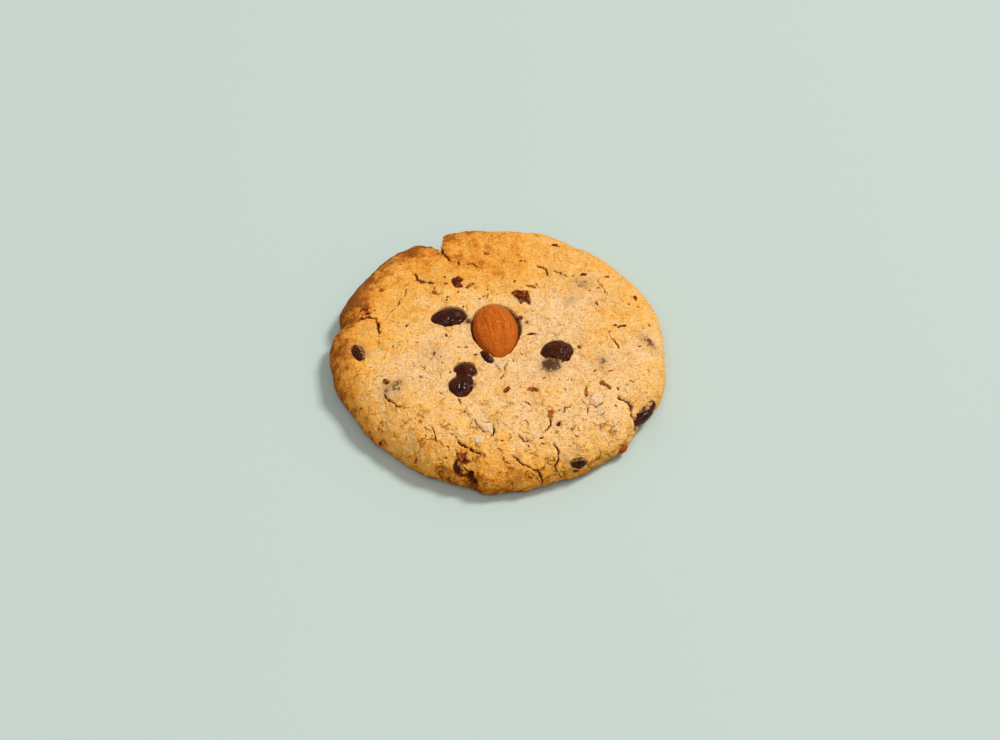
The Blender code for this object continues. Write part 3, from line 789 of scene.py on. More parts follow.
@dataclass(frozen=True)
class Finish:
    """A surface finish. Each kind fills in its own nodes."""

    name: str
    roughness: float
    shine: float = 0.5

    def material(self) -> bpy.types.Material:
        """Build the material.

        Returns:
            The new material.
        """
        material = bpy.data.materials.new(self.name)
        material.use_nodes = True
        graph = Graph(material.node_tree)
        shader = material.node_tree.nodes["Principled BSDF"]
        shader.inputs["Roughness"].default_value = self.roughness
        shader.inputs["Specular IOR Level"].default_value = self.shine
        self.dress(graph, shader)
        return material

    def dress(self, graph: Graph, shader: bpy.types.Node) -> None:
        """Link colour and relief to the shader."""
        raise NotImplementedError

    @staticmethod
    def colour(graph: Graph, shader: bpy.types.Node, colour: object) -> None:
        """Use a colour socket as the base colour."""
        graph.tree.links.new(colour, shader.inputs["Base Color"])

    @staticmethod
    def bump(graph: Graph, shader: bpy.types.Node, height: Value, strength: float, distance: float) -> None:
        """Use a height as the surface's fine relief.

        Args:
            graph: Builder of the material's tree.
            shader: The Principled shader.
            height: Height from about 0 to 1.
            strength: Share of the relief that shows.
            distance: Height of the relief, in metres.
        """
        inputs = {"Height": height, "Strength": strength, "Distance": distance}
        node = graph.add("ShaderNodeBump", None, inputs)
        graph.tree.links.new(node.outputs[0], shader.inputs["Normal"])


@dataclass(frozen=True)
class CrustFinish(Finish):
    """Sandy baked dough, from pale crumb to a rim darkened by browning and painted shade, with painted shade
    in its cracks and hollows, and grey patches.
    """

    browning: tuple[tuple[float, Colour], ...] = (
        (0.0, (0.770, 0.475, 0.215)),
        (0.25, (0.775, 0.410, 0.105)),
        (0.45, (0.760, 0.345, 0.058)),
        (0.62, (0.710, 0.270, 0.030)),
        (0.80, (0.480, 0.145, 0.013)),
        (1.0, (0.250, 0.070, 0.008)),
    )
    # Painted shade inside the cracks, the seams of the crust's net, the moats round the chips and the pits of
    # the gap's walls
    crack: Colour = (0.115, 0.026, 0.003)
    # Painted shade in the hairline splits
    craze_shade: Colour = (0.300, 0.095, 0.014)
    grey: Colour = (0.065, 0.024, 0.010)
    haze: Colour = (0.390, 0.215, 0.105)
    # Painted shade, with some stain, for the open hollows round the toppings
    stain_and_shade: Colour = (0.045, 0.013, 0.004)
    fleck: Colour = (0.440, 0.165, 0.028)
    flour: Colour = (0.860, 0.620, 0.340)
    sand_scale: float = 1350.0
    grain_scale: float = 640.0
    mottle_scale: float = 240.0
    cloud_scale: float = 55.0
    flour_share: float = 0.50
    fleck_share: float = 0.55
    craze_shade_share: float = 0.80
    grey_share: float = 0.90
    stain_and_shade_share: float = 0.90
    crack_shade_share: float = 0.92
    relief: float = 0.0009

    def dress(self, graph: Graph, shader: bpy.types.Node) -> None:
        """Link colour and relief to the shader.

        Args:
            graph: Builder of the material's tree.
            shader: The Principled shader.
        """
        place = graph.add("ShaderNodeTexCoord").outputs["Object"]
        sand = graph.noise(place, self.sand_scale, 2.0, 0.6)
        grain = graph.noise(place, self.grain_scale, 4.0, 0.7)
        mottle = graph.noise(place, self.mottle_scale, 4.0, 0.6)
        cloud = graph.noise(place, self.cloud_scale, 3.0, 0.55)
        # The browning numbers carry painted shade on the rim too
        browned = graph.attribute("Browning")
        uneven = (mottle - 0.5) * 0.9 + (cloud - 0.5) * 0.5 + (grain - 0.5) * 0.9
        tone = browned + uneven * (browned * 0.9 + 0.65)
        colour = graph.ramp(tone, self.browning)
        colour = graph.mix(1.0, colour, sand + grain + 0.09, "MULTIPLY")
        floury = sand.band(0.57, 0.72) * tone.band(0.9, 0.1)
        colour = graph.mix(floury * self.flour_share, colour, self.flour)
        colour = graph.mix(grain.band(0.57, 0.70) * self.fleck_share, colour, self.fleck)
        seams = self.crazing(graph, place, mottle) * graph.attribute("Crazed")
        colour = graph.mix(seams * self.craze_shade_share, colour, self.craze_shade)
        # Grey also holds painted shade between the left raisin and the almond
        film = graph.attribute("Grey")
        colour = graph.mix(film * (mottle + 0.20), colour, self.haze)
        specks = (film * (grain * 3.4 - 0.85)).band(0.38, 0.85)
        colour = graph.mix(specks * self.grey_share, colour, self.grey)
        # Painted shade, with some stain, darkens the dough in the open hollows round the toppings
        colour = graph.mix(graph.attribute("Stain") * self.stain_and_shade_share, colour, self.stain_and_shade)
        # Painted shade in the cracks, seams, moats and pits
        crack_shading = graph.attribute("Cracked") + (grain - 0.5) * 0.5
        colour = graph.mix(crack_shading.band(0.12, 0.60) * self.crack_shade_share, colour, self.crack)
        self.colour(graph, shader, colour)
        height = sand * 0.4 + grain * 0.8 + mottle * 0.5 - seams * 0.5
        self.bump(graph, shader, height, 1.0, self.relief)

    @staticmethod
    def crazing(graph: Graph, place: bpy.types.NodeSocket, gate: Value) -> Value:
        """Broken net of hairline splits, from 0 on whole crust to 1 in a split, which painted shade darkens.

        Args:
            graph: Builder of the material's tree.
            place: Object coordinates.
            gate: Noise that breaks the net up.

        Returns:
            How much of a split shows.
        """
        swirl = graph.add("ShaderNodeTexNoise", None, {"Vector": place, "Scale": 420.0, "Detail": 3.0})
        bent = graph.add(
            "ShaderNodeVectorMath",
            {"operation": "MULTIPLY_ADD"},
            {0: swirl.outputs["Color"], 1: (0.005, 0.005, 0.005), 2: place},
        )
        net = graph.add(
            "ShaderNodeTexVoronoi",
            {"feature": "DISTANCE_TO_EDGE"},
            {"Vector": bent.outputs[0], "Scale": 210.0},
        )
        return Value(graph, net.outputs["Distance"]).band(0.065, 0.015) * gate.band(0.50, 0.58)


@dataclass(frozen=True)
class AlmondFinish(Finish):
    """Roasted almond skin with lengthwise veins, and painted shade that darkens its sides."""

    skin: Colour = (0.500, 0.107, 0.006)
    dark: Colour = (0.350, 0.056, 0.003)
    light: Colour = (0.640, 0.195, 0.020)
    vein_stretch: Triple = (56.0, 3.4, 1.0)
    band_stretch: Triple = (17.0, 1.6, 1.0)
    dust_scale: float = 1150.0
    relief: float = 0.0005

    @staticmethod
    def drawn_noise(graph: Graph, chart: object, stretch: Triple, detail: float, roughness: float) -> Value:
        """Noise drawn out along the almond."""
        drawn = graph.add("ShaderNodeMapping", None, {"Vector": chart, "Scale": stretch})
        return graph.noise(drawn.outputs[0], 1.0, detail, roughness)

    def dress(self, graph: Graph, shader: bpy.types.Node) -> None:
        """Link colour and relief to the shader.

        Args:
            graph: Builder of the material's tree.
            shader: The Principled shader.
        """
        chart = graph.add("ShaderNodeUVMap", {"uv_map": "chart"}).outputs[0]
        veins = self.drawn_noise(graph, chart, self.vein_stretch, 3.0, 0.6)
        bands = self.drawn_noise(graph, chart, self.band_stretch, 2.0, 0.5)
        place = graph.add("ShaderNodeTexCoord").outputs["Object"]
        dust = graph.noise(place, self.dust_scale, 4.0, 0.7)
        across = Value(graph, graph.add("ShaderNodeSeparateXYZ", None, {0: chart}).outputs["X"]) - 0.5
        # Painted shade: the sides, away from the top, are mixed towards the dark colour
        edge = (across * across).band(0.012, 0.062)
        colour = graph.mix(bands.band(0.28, 0.50), self.dark, self.skin)
        colour = graph.mix(veins.band(0.53, 0.66) * 0.65, colour, self.light)
        colour = graph.mix(veins.band(0.46, 0.34) * 0.7, colour, self.dark)
        colour = graph.mix(dust.band(0.53, 0.64) * 0.6, colour, self.light)
        colour = graph.mix(dust.band(0.46, 0.36) * 0.6, colour, self.dark)
        colour = graph.mix(edge * 0.7, colour, self.dark)
        self.colour(graph, shader, colour)
        self.bump(graph, shader, veins + bands * 0.5 + dust * 0.6, 0.7, self.relief)


@dataclass(frozen=True)
class RaisinFinish(Finish):
    """Dark glossy raisin skin, lighter reddish brown in patches on its wrinkles' ridges and kept dark in the
    creases by painted shade.
    """

    skin: Colour = (0.006, 0.002, 0.001)
    ridge: Colour = (0.066, 0.010, 0.001)
    patch_scale: float = 420.0
    fine_scale: float = 1900.0
    roughness_range: float = 0.12
    relief: float = 0.0003

    def dress(self, graph: Graph, shader: bpy.types.Node) -> None:
        """Link colour and relief to the shader.

        Args:
            graph: Builder of the material's tree.
            shader: The Principled shader.
        """
        place = graph.add("ShaderNodeTexCoord").outputs["Object"]
        patches = graph.noise(place, self.patch_scale, 3.0, 0.6)
        fine = graph.noise(place, self.fine_scale, 3.0, 0.6)
        high = graph.attribute("Ridge")
        # Painted shade: the colour follows the wrinkles' height, dark in the creases and lighter on the
        # ridges
        colour = graph.mix((high * patches * 2.0).band(0.35, 1.1), self.skin, self.ridge)
        self.colour(graph, shader, colour)
        rough = patches.band(0.3, 0.75) * self.roughness_range + self.roughness
        graph.tree.links.new(rough.socket, shader.inputs["Roughness"])
        self.bump(graph, shader, fine * 0.3 + patches, 0.45, self.relief)


@dataclass(frozen=True)
class NutFinish(Finish):
    """Broken nut, flesh or skin side up."""

    main: Colour = (0.5, 0.3, 0.1)
    second: Colour = (0.2, 0.1, 0.05)
    patch_scale: float = 620.0
    fine_scale: float = 2000.0
    relief: float = 0.0007

    def dress(self, graph: Graph, shader: bpy.types.Node) -> None:
        """Link colour and relief to the shader.

        Args:
            graph: Builder of the material's tree.
            shader: The Principled shader.
        """
        place = graph.add("ShaderNodeTexCoord").outputs["Object"]
        patches = graph.noise(place, self.patch_scale, 4.0, 0.7)
        fine = graph.noise(place, self.fine_scale, 3.0, 0.6)
        colour = graph.mix((patches + fine * 0.3).band(0.60, 0.72), self.main, self.second)
        colour = graph.mix(1.0, colour, patches + fine + 0.05, "MULTIPLY")
        self.colour(graph, shader, colour)
        self.bump(graph, shader, fine * 0.5 + patches, 0.9, self.relief)


@dataclass(frozen=True)
class FloorFinish(Finish):
    """Plain pale floor."""

    shade: Colour = (0.475, 0.558, 0.512)

    def dress(self, graph: Graph, shader: bpy.types.Node) -> None:
        """Set the one plain colour."""
        shader.inputs["Base Color"].default_value = (*self.shade, 1.0)


NUT_FINISHES = {
    Nut.DARK_SKIN: NutFinish("nut_dark_skin", 0.6, 0.05, (0.085, 0.011, 0.004), (0.330, 0.075, 0.014)),
    Nut.ORANGE_SKIN: NutFinish("nut_orange_skin", 0.6, 0.05, (0.520, 0.140, 0.012), (0.280, 0.050, 0.006)),
    Nut.FLESH: NutFinish("nut_flesh", 0.65, 0.1, (0.810, 0.580, 0.350), (0.760, 0.450, 0.200)),
}


@dataclass
class Skin:
    """The smooth skin of the disc and the mapping from places on it to points."""

    shape: Shape = SHAPE
    samples: int = 200

    def __post_init__(self) -> None:
        """Trace the profile of the edge, from the shoulder round to the base."""
        shape = self.shape
        quarter = np.linspace(0, math.pi / 2, self.samples)
        over = shape.shoulder * np.sin(quarter) ** (2 / shape.power)
        rise = (shape.thickness - shape.widest) * np.cos(quarter) ** (2 / shape.power)
        under = shape.shoulder - shape.undercut + shape.undercut * np.cos(quarter[1:])
        fall = shape.widest - shape.widest * np.sin(quarter[1:])
        self.outward = np.concatenate((over, under))
        self.height = np.concatenate((shape.widest + rise, fall))
        steps = np.hypot(np.diff(self.outward), np.diff(self.height))
        self.travel = np.concatenate(((0.0,), np.cumsum(steps)))

    def rim_radius(self, angle: Array) -> Array:
        """Radius of the widest line in each direction."""
        return self.shape.rim_radius + lobe_sum(np.degrees(angle), LOBES)

    def limit(self, angle: Array) -> Array:
        """Travel from the middle of the top to the base's edge in each direction."""
        return self.rim_radius(angle) - self.shape.shoulder + float(self.travel[-1])

    def points(self, x: Array, y: Array) -> Array:
        """Points of the smooth skin for places on it.

        Args:
            x: Places along x on the skin, in millimetres.
            y: Places along y on the skin, in millimetres.

        Returns:
            Points in millimetres, one a row.
        """
        travel, angle = np.hypot(x, y), np.arctan2(y, x)
        flat = self.rim_radius(angle) - self.shape.shoulder
        over = np.maximum(travel - flat, 0.0)
        out = np.interp(over, self.travel, self.outward)
        height = np.interp(over, self.travel, self.height)
        radius = np.where(travel < flat, travel, flat + out)
        return np.stack((radius * np.cos(angle), radius * np.sin(angle), height), axis=-1)

    def axes(self, x: Array, y: Array, step: float = 0.05) -> tuple[Array, Array, Array]:
        """Unit vectors along x, along y and outward at places on the skin.

        Args:
            x: Places along x on the skin, in millimetres.
            y: Places along y on the skin, in millimetres.
            step: Distance that a slope is taken over, in millimetres.

        Returns:
            The three unit vectors for each place.
        """
        along_x = self.points(x + step, y) - self.points(x - step, y)
        along_y = self.points(x, y + step) - self.points(x, y - step)
        normal = np.cross(along_x, along_y)
        normal /= np.linalg.norm(normal, axis=-1, keepdims=True)
        along_x /= np.linalg.norm(along_x, axis=-1, keepdims=True)
        return along_x, np.cross(normal, along_x), normal

    def lifted(self, x: Array, y: Array, height: Array) -> Array:
        """Points at a height over the smooth skin."""
        return self.points(x, y) + self.axes(x, y)[2] * np.asarray(height)[..., None]

    def frame_at(self, x: float, y: float, turn: float, lift: float) -> Matrix:
        """Placement on the skin: Z outward, X turned from the skin's x direction, in metres.

        Args:
            x: Places along x on the skin, in millimetres.
            y: Places along y on the skin, in millimetres.
            turn: Turn about the outward direction, in degrees.
            lift: Height over the smooth skin, in millimetres.

        Returns:
            The placement.
        """
        along_x, along_y, normal = (Vector(v) for v in self.axes(np.array(x), np.array(y)))
        spot = (Vector(self.points(np.array(x), np.array(y))) + normal * lift) * MM
        turned = Matrix((along_x, along_y, normal)).transposed() @ Matrix.Rotation(math.radians(turn), 3, "Z")
        return Matrix.Translation(spot) @ turned.to_4x4()


SKIN = Skin()

# Numbers kept on the dough's mesh for its finish
NUMBERS = ("Browning", "Cracked", "Crazed", "Grey", "Stain")

# Height, size and seed of each layer of the crust's finest relief
FINE_RELIEF = ((0.15, 1.9, 4), (0.10, 1.0, 5), (0.05, 0.6, 6))


@dataclass
class Groove:
    """One crack as a fine zigzag line, with the profile that it cuts in the skin."""

    crack: Crack
    seed: int
    width_share: float = 0.33
    least_reach: float = 0.10
    walled_width: float = 0.45
    coarse_step: float = 1.4
    coarse_swing: float = 0.5
    fine_step: float = 0.35
    fine_swing: float = 0.24
    taper_length: float = 1.6
    deep: float = 1.15
    least_open_deep: float = 0.85
    least_open: float = 0.35
    highest_lip: float = 0.14
    lip_at: float = 1.8

    def __post_init__(self) -> None:
        """Draw the zigzag line, first in coarse steps and then in fine ones."""
        crack = self.crack
        self.reach = crack.width * self.width_share + self.least_reach
        draw = random.Random(self.seed)
        knots = [np.array(crack.path[0], float)]
        for start, end in zip(crack.path, crack.path[1:]):
            start, end = np.array(start, float), np.array(end, float)
            run = end - start
            length = float(np.hypot(*run))
            sideways = np.array((-run[1], run[0])) / length
            count = max(1, round(length / self.coarse_step))
            for k in range(1, count):
                swing = draw.uniform(-self.coarse_swing, self.coarse_swing)
                knots.append(start + run * k / count + sideways * swing)
            knots.append(end)
        line = [knots[0]]
        for start, end in zip(knots, knots[1:]):
            run = end - start
            length = float(np.hypot(*run))
            sideways = np.array((-run[1], run[0])) / length
            count = max(1, round(length / self.fine_step))
            for k in range(1, count + 1):
                jag = draw.uniform(-self.fine_swing, self.fine_swing) if k < count else 0.0
                line.append(start + run * k / count + sideways * jag)
        self.line = np.array(line)

    def rows(self) -> list[Array]:
        """Lines of mesh points along the crack: its bottom, its walls and its lips.

        Returns:
            The lines, each with one point a row.
        """
        run = np.gradient(self.line, axis=0)
        sideways = np.stack((-run[:, 1], run[:, 0]), axis=-1) / np.hypot(*run.T)[:, None]
        shares = (0.0, -0.5, 0.5, -1.0, 1.0) if self.crack.width > self.walled_width else (0.0, -1.0, 1.0)
        return [self.line + sideways * (self.reach * share) for share in shares]

    def cut(self, x: Array, y: Array) -> tuple[Array, Array]:
        """Height and painted shade that the crack gives to places on the skin.

        Args:
            x: Places along x on the skin, in millimetres.
            y: Places along y on the skin, in millimetres.

        Returns:
            Heights in millimetres, and painted shade from 0 to 1.
        """
        height, dark = np.zeros_like(x), np.zeros_like(x)
        margin = 3 * self.reach + 1
        low, high = self.line.min(axis=0) - margin, self.line.max(axis=0) + margin
        near = (x > low[0]) & (x < high[0]) & (y > low[1]) & (y < high[1])
        if not near.any():
            return height, dark
        px, py = x[near], y[near]
        uneven = 0.85 + 0.6 * turned_noise(px, py, 1.1, 8)
        away = distance_to_line(px, py, self.line) / (self.reach * uneven)
        ends = np.hypot(px - self.line[0, 0], py - self.line[0, 1])
        ends = np.minimum(ends, np.hypot(px - self.line[-1, 0], py - self.line[-1, 1]))
        taper = np.clip(ends / self.taper_length, 0.2, 1)
        lip = min(self.highest_lip, 0.25 * self.crack.depth) * np.exp(-((away - self.lip_at) ** 2) * 1.5)
        lip *= 0.5 + 0.9 * turned_noise(px, py, 1.7, 9)
        least = self.least_open_deep if self.crack.depth > self.deep else self.least_open
        open_share = np.clip(1.0 + 1.3 * turned_noise(px, py, 1.6, 14), least, 1)
        height[near] = lip - self.crack.depth * np.clip(1.1 - away, 0, 1) * taper * open_share
        # Painted shade in the crack
        dark[near] = np.clip(1.2 - away, 0, 1) * taper * open_share * min(1.0, 0.6 + 0.5 * self.crack.depth)
        return height, dark


@dataclass
class Hairlines:
    """Short random cracks, thick on the near side and sparse elsewhere."""

    count: int = 190
    seed: int = 5
    span_x: tuple[float, float] = (-56.0, 56.0)
    span_y: tuple[float, float] = (-60.0, 56.0)
    farthest: float = 57.0
    near_side: float = -28.0
    sparse_share: float = 0.30
    topping_room: float = 0.75
    bend: float = 0.9
    stretch: tuple[float, float] = (0.7, 1.7)
    width: tuple[float, float] = (0.1, 0.3)
    depth: tuple[float, float] = (0.2, 0.5)

    def cracks(self) -> list[Crack]:
        """Draw the cracks, clear of the toppings.

        Returns:
            The cracks, in the order drawn.
        """
        draw = random.Random(self.seed)
        cracks = []
        while len(cracks) < self.count:
            x, y = draw.uniform(*self.span_x), draw.uniform(*self.span_y)
            share = 1.0 if y < self.near_side else self.sparse_share
            if math.hypot(x, y) > self.farthest or draw.random() > share:
                continue
            if any(math.hypot(x - pod.x, y - pod.y) < pod.length * self.topping_room for pod in PODS):
                continue
            heading = draw.uniform(0, math.tau)
            path = [(x, y)]
            for _ in range(draw.randint(1, 3)):
                heading += draw.uniform(-self.bend, self.bend)
                reach = draw.uniform(*self.stretch)
                x, y = x + reach * math.cos(heading), y + reach * math.sin(heading)
                path.append((x, y))
            cracks.append(Crack(tuple(path), draw.uniform(*self.width), draw.uniform(*self.depth)))
        return cracks


def new_piece(
    name: str, vertices: Array, faces: list[list[int]], finish: bpy.types.Material | None
) -> bpy.types.Object:
    """A smooth-shaded mesh object from vertices in millimetres in the cookie's frame.

    Args:
        name: Name of the object.
        vertices: Points in millimetres, one a row.
        faces: Vertex numbers of each face.
        finish: Its material, if it has one.

    Returns:
        The object, linked to the scene.
    """
    mesh = bpy.data.meshes.new(name)
    mesh.from_pydata((np.asarray(vertices) * MM).tolist(), [], faces)
    mesh.validate()
    mesh.shade_smooth()
    if finish is not None:
        mesh.materials.append(finish)
    obj = bpy.data.objects.new(name, mesh)
    bpy.context.scene.collection.objects.link(obj)
    return obj


def keep_numbers(obj: bpy.types.Object, name: str, values: Array) -> None:
    """Store one number for each vertex."""
    attribute = obj.data.attributes.new(name, "FLOAT", "POINT")
    attribute.data.foreach_set("value", np.asarray(values, np.float32))


@dataclass
class RimGap:
    """Cutter for the wedge that is missing from the far left of the rim, with broken walls."""

    tip: tuple[float, float] = (-18.5, 37.6)
    left: Path = ((-21.0, 42.5), (-24.6, 54.0))
    right: Path = ((-17.5, 43.0), (-17.3, 56.0))
    floor_at_tip: float = 11.0
    floor_at_rim: float = -6.0
    top: float = 18.0
    roughness: tuple[tuple[float, float], ...] = ((0.75, 2.1), (0.55, 0.85))
    pit_size: float = 1.1
    browning: float = 0.34
    stations: int = 42
    levels: int = 26

    def side(self, corners: Path) -> Array:
        """Plan points of one wall, from the tip outward.

        Args:
            corners: Way points after the tip.

        Returns:
            Points of the wall, one a row.
        """
        knots = np.array((self.tip, *corners))
        travel = np.concatenate(((0.0,), np.cumsum(np.hypot(*np.diff(knots, axis=0).T))))
        share = np.linspace(0, travel[-1], self.stations + 1)
        return np.stack([np.interp(share, travel, knots[:, k]) for k in (0, 1)], axis=-1)

    def build(self, shift: Array) -> bpy.types.Object:
        """Make the cutter in the CAD frame.

        Args:
            shift: Move from the shape's own middle to the CAD frame, in millimetres.

        Returns:
            The cutter, with the numbers that its walls leave on the dough.
        """
        walls = (self.side(self.left), self.side(self.right))
        vertices: list[Triple] = []
        index: dict[tuple[int, int, int], int] = {}
        for wall, plan in enumerate(walls):
            for station, (x, y) in enumerate(plan):
                floor = self.floor_at_tip + (self.floor_at_rim - self.floor_at_tip) * station / self.stations
                for level in range(self.levels + 1):
                    if wall == 1 and station == 0:
                        index[wall, station, level] = index[0, 0, level]
                        continue
                    z = floor + (self.top - floor) * level / self.levels
                    spot = Vector((x, y, z))
                    rough = sum(swing * perlin.noise(spot / size) for swing, size in self.roughness)
                    index[wall, station, level] = len(vertices)
                    vertices.append((x + rough * min(1.0, station / 3), y, z))
        faces = []
        for station in range(self.stations):
            for level in range(self.levels):
                for wall in (0, 1):
                    quad = [
                        index[wall, station, level],
                        index[wall, station + 1, level],
                        index[wall, station + 1, level + 1],
                        index[wall, station, level + 1],
                    ]
                    faces.append(quad if wall == 1 else quad[::-1])
            for level in (0, self.levels):
                cap = [index[0, station, level], index[0, station + 1, level], index[1, station + 1, level]]
                cap += [index[1, station, level]] if station else []
                faces.append(cap if level == 0 else cap[::-1])
        for level in range(self.levels):
            faces.append([
                index[0, self.stations, level],
                index[0, self.stations, level + 1],
                index[1, self.stations, level + 1],
                index[1, self.stations, level],
            ])
        pits = np.array([perlin.noise(Vector(spot) / self.pit_size) for spot in vertices])
        points = np.array(vertices)
        points[:, :2] += shift
        obj = new_piece("rim_gap", points, faces, None)
        work = bmesh.new()
        work.from_mesh(obj.data)
        bmesh.ops.recalc_face_normals(work, faces=work.faces)
        work.to_mesh(obj.data)
        work.free()
        even = np.ones(len(points))
        # Painted shade in the pits of the broken walls
        crack_shading = np.clip(0.16 + 0.9 * pits, 0, 0.6)
        for name, values in zip(NUMBERS, (even * self.browning, crack_shading, even, even * 0, even * 0)):
            keep_numbers(obj, name, values)
        return obj


@dataclass
class Dough:
    """The dough disc in fine mesh: crust relief, cracks, hollows for the toppings, and the missing wedge."""

    finish: CrustFinish = field(default_factory=lambda: CrustFinish("baked_dough", 0.9, 0.05))
    step: float = 0.46
    ring_points: int = 720
    raisin_gap: float = 0.05
    almond_gap: float = 0.22
    almond_side_gap: float = 1.2
    lap_thickness: float = 0.14
    bed_clearance: float = 0.1
    net_size: float = 4.2
    net_depth: float = 0.35
    moat_depth: float = 0.30
    almond_ragged: tuple[float, float] = (0.14, 0.10)
    raisin_ragged: tuple[float, float] = (0.34, 0.22)
    film: float = 0.8
    edge_rings: tuple[float, ...] = (0.0, 0.45, 0.9)
    edge_room: float = 1.2
    bed_rings: Triple = (-1.3, 1.2, 0.22)
    fill_reach: float = 70.0
    fill_jitter: float = 0.14
    base_fade: float = 3.0
    pale: float = 0.06
    rim_brown_and_shade: float = 0.12
    base_brown_and_shade: float = 0.35

    def __post_init__(self) -> None:
        """Lay out the cracks."""
        cracks = [*CRACKS, *FINE_CRACKS, *Hairlines().cracks()]
        self.grooves = [Groove(crack, seed) for seed, crack in enumerate(cracks)]

    def waves(self, x: Array, y: Array) -> Array:
        """The crust's unevenness down to a few millimetres, as in the part.

        Args:
            x: Places along x on the skin, in millimetres.
            y: Places along y on the skin, in millimetres.

        Returns:
            Heights, in millimetres.
        """
        shape = SKIN.shape
        height = shape.undulation * lattice_noise(x, y, shape.undulation_size, 1)
        height += shape.lumps * lattice_noise(x, y, shape.lump_size, 2)
        return height + shape.crumble * lattice_noise(x, y, shape.crumble_size, 3)

    def relief(self, x: Array, y: Array) -> tuple[Array, Array]:
        """Height of the crust over the smooth skin, and the painted shade in its cracks, seams and the moats
        round the chips.

        Args:
            x: Places along x on the skin, in millimetres.
            y: Places along y on the skin, in millimetres.

        Returns:
            Heights in millimetres, and painted shade from 0 to 1.
        """
        shape = SKIN.shape
        travel, angle = np.hypot(x, y), np.arctan2(y, x)
        height = self.waves(x, y) + patch_sum(x, y, BUMPS)
        height += shape.crown * (1 - np.minimum(travel / (shape.rim_radius - shape.shoulder), 1.0) ** 2)
        crumbly = 0.75 + np.clip((-24 - y) / 16, 0, 1)
        height += crumbly * sum(rise * turned_noise(x, y, size, seed) for rise, size, seed in FINE_RELIEF)
        seam = seam_distance(x, y, self.net_size, 21)
        split = np.clip(turned_noise(x, y, 9.0, 23) * 1.6 + crumbly - 1.1, 0, 1)
        height -= self.net_depth * split * np.clip(1 - seam / 0.55, 0, 1)
        # Painted shade in the seams of the crumbly net
        dark = 0.45 * split * np.clip(1 - seam / 0.40, 0, 1)
        for groove in self.grooves:
            cut, shade = groove.cut(x, y)
            height += cut
            dark = np.maximum(dark, shade)
        for seed, chip in enumerate(CHIPS):
            near = np.hypot(x - chip.x, y - chip.y) < chip.length + 2
            away = -depth_inside(x[near], y[near], chip.outline(seed))
            beside = np.exp(-(((away - 0.15) / 0.28) ** 2))
            beside *= np.clip(0.6 + turned_noise(x[near], y[near], 1.7, 31), 0, 1)
            height[near] -= self.moat_depth * beside
            # Painted shade in the moat round the chip
            dark[near] = np.maximum(dark[near], 0.55 * beside)
        return height * np.clip((SKIN.limit(angle) - travel) / self.base_fade, 0, 1), dark

    def places(self) -> Array:
        """Mesh places on the skin: the base's edge, the cracks, the hollows' edges and an even fill.

        Returns:
            Places on the skin, one a row.
        """
        directions = np.arange(self.ring_points) * math.tau / self.ring_points
        across = np.stack((np.cos(directions), np.sin(directions)), axis=-1)
        rings = [across * (SKIN.limit(directions) - inset)[:, None] for inset in self.edge_rings]
        rows = [row for groove in self.grooves for row in groove.rows()]
        rows += [pod.opening(offset) for pod in PODS for offset in np.arange(*self.bed_rings)]
        draw = np.random.default_rng(11)
        count = int(self.fill_reach / self.step)
        column, row = np.meshgrid(np.arange(-count, count + 1), np.arange(-count, count + 1))
        jitter = (-self.fill_jitter, self.fill_jitter, column.shape)
        fill_x = (column + (row % 2) / 2) * self.step + draw.uniform(*jitter) * self.step
        fill_y = row * self.step * 0.866 + draw.uniform(*jitter) * self.step
        fill = np.stack((fill_x.ravel(), fill_y.ravel()), axis=-1)
        everything = np.concatenate((*rows, fill))
        limit = SKIN.limit(np.arctan2(everything[:, 1], everything[:, 0]))
        inside = np.hypot(*everything.T) < limit - self.edge_room
        return np.concatenate((*rings, everything[inside]))

    def triangulate(self) -> tuple[Array, list[list[int]], list[int]]:
        """Triangles over the skin, and the vertices of the base's edge in order.

        Returns:
            Places of the vertices, vertex numbers of the triangles, and the edge's vertices.
        """
        flat = [Vector(p) for p in self.places()]
        ring = list(range(self.ring_points))
        result = delaunay_2d_cdt(flat, [], [ring], 1, 0.03)
        found = {source: v for v, sources in enumerate(result[3]) for source in sources}
        return np.array([tuple(v) for v in result[0]]), [list(f) for f in result[2]], [found[k] for k in ring]

    def bed(self, pod: Pod, x: Array, y: Array, height: Array) -> tuple[Array, Array, Array]:
        """Hollow for a topping, with ragged edges where the dough laps over it.

        Args:
            pod: The topping.
            x: Places near it along x.
            y: Places near it along y.
            height: The crust's height there.

        Returns:
            The new height, how much stain and painted shade the dough gets where the hollow is open, and how
            much of the topping lies under a film of dough.
        """
        inside = depth_inside(x, y, pod.opening())
        along, across = pod.to_local(x, y)
        if pod is ALMOND:
            beside = np.clip(across / 3, 0, 1) * np.exp(-(((along + 4) / 6.5) ** 2))
            beside += 0.45 * np.clip(-across / 3, 0, 1) * np.exp(-(((along - 3) / 5.5) ** 2))
            gap = self.almond_gap + self.almond_side_gap * beside
            coarse, fine = self.almond_ragged
        else:
            gap = self.raisin_gap
            coarse, fine = self.raisin_ragged
        ragged = coarse * turned_noise(x, y, 2.4, 12) + fine * turned_noise(x, y, 1.1, 13)
        free = inside + gap + ragged - patch_sum(x, y, LAPS)
        half = pod.half_thickness(x, y)
        over = np.where(inside > 0, half - pod.sunk + self.lap_thickness, -np.inf)
        under = -pod.sunk - half - self.bed_clearance
        shaped = np.where(free > 0, np.minimum(height, under), np.maximum(height, over))
        film = np.where((inside > 0) & (free <= 0), self.film, 0.0)
        # The second number is painted shade in the gap round the topping, with some stain
        return shaped, np.clip((free + 0.14) / 0.22, 0, 1), film

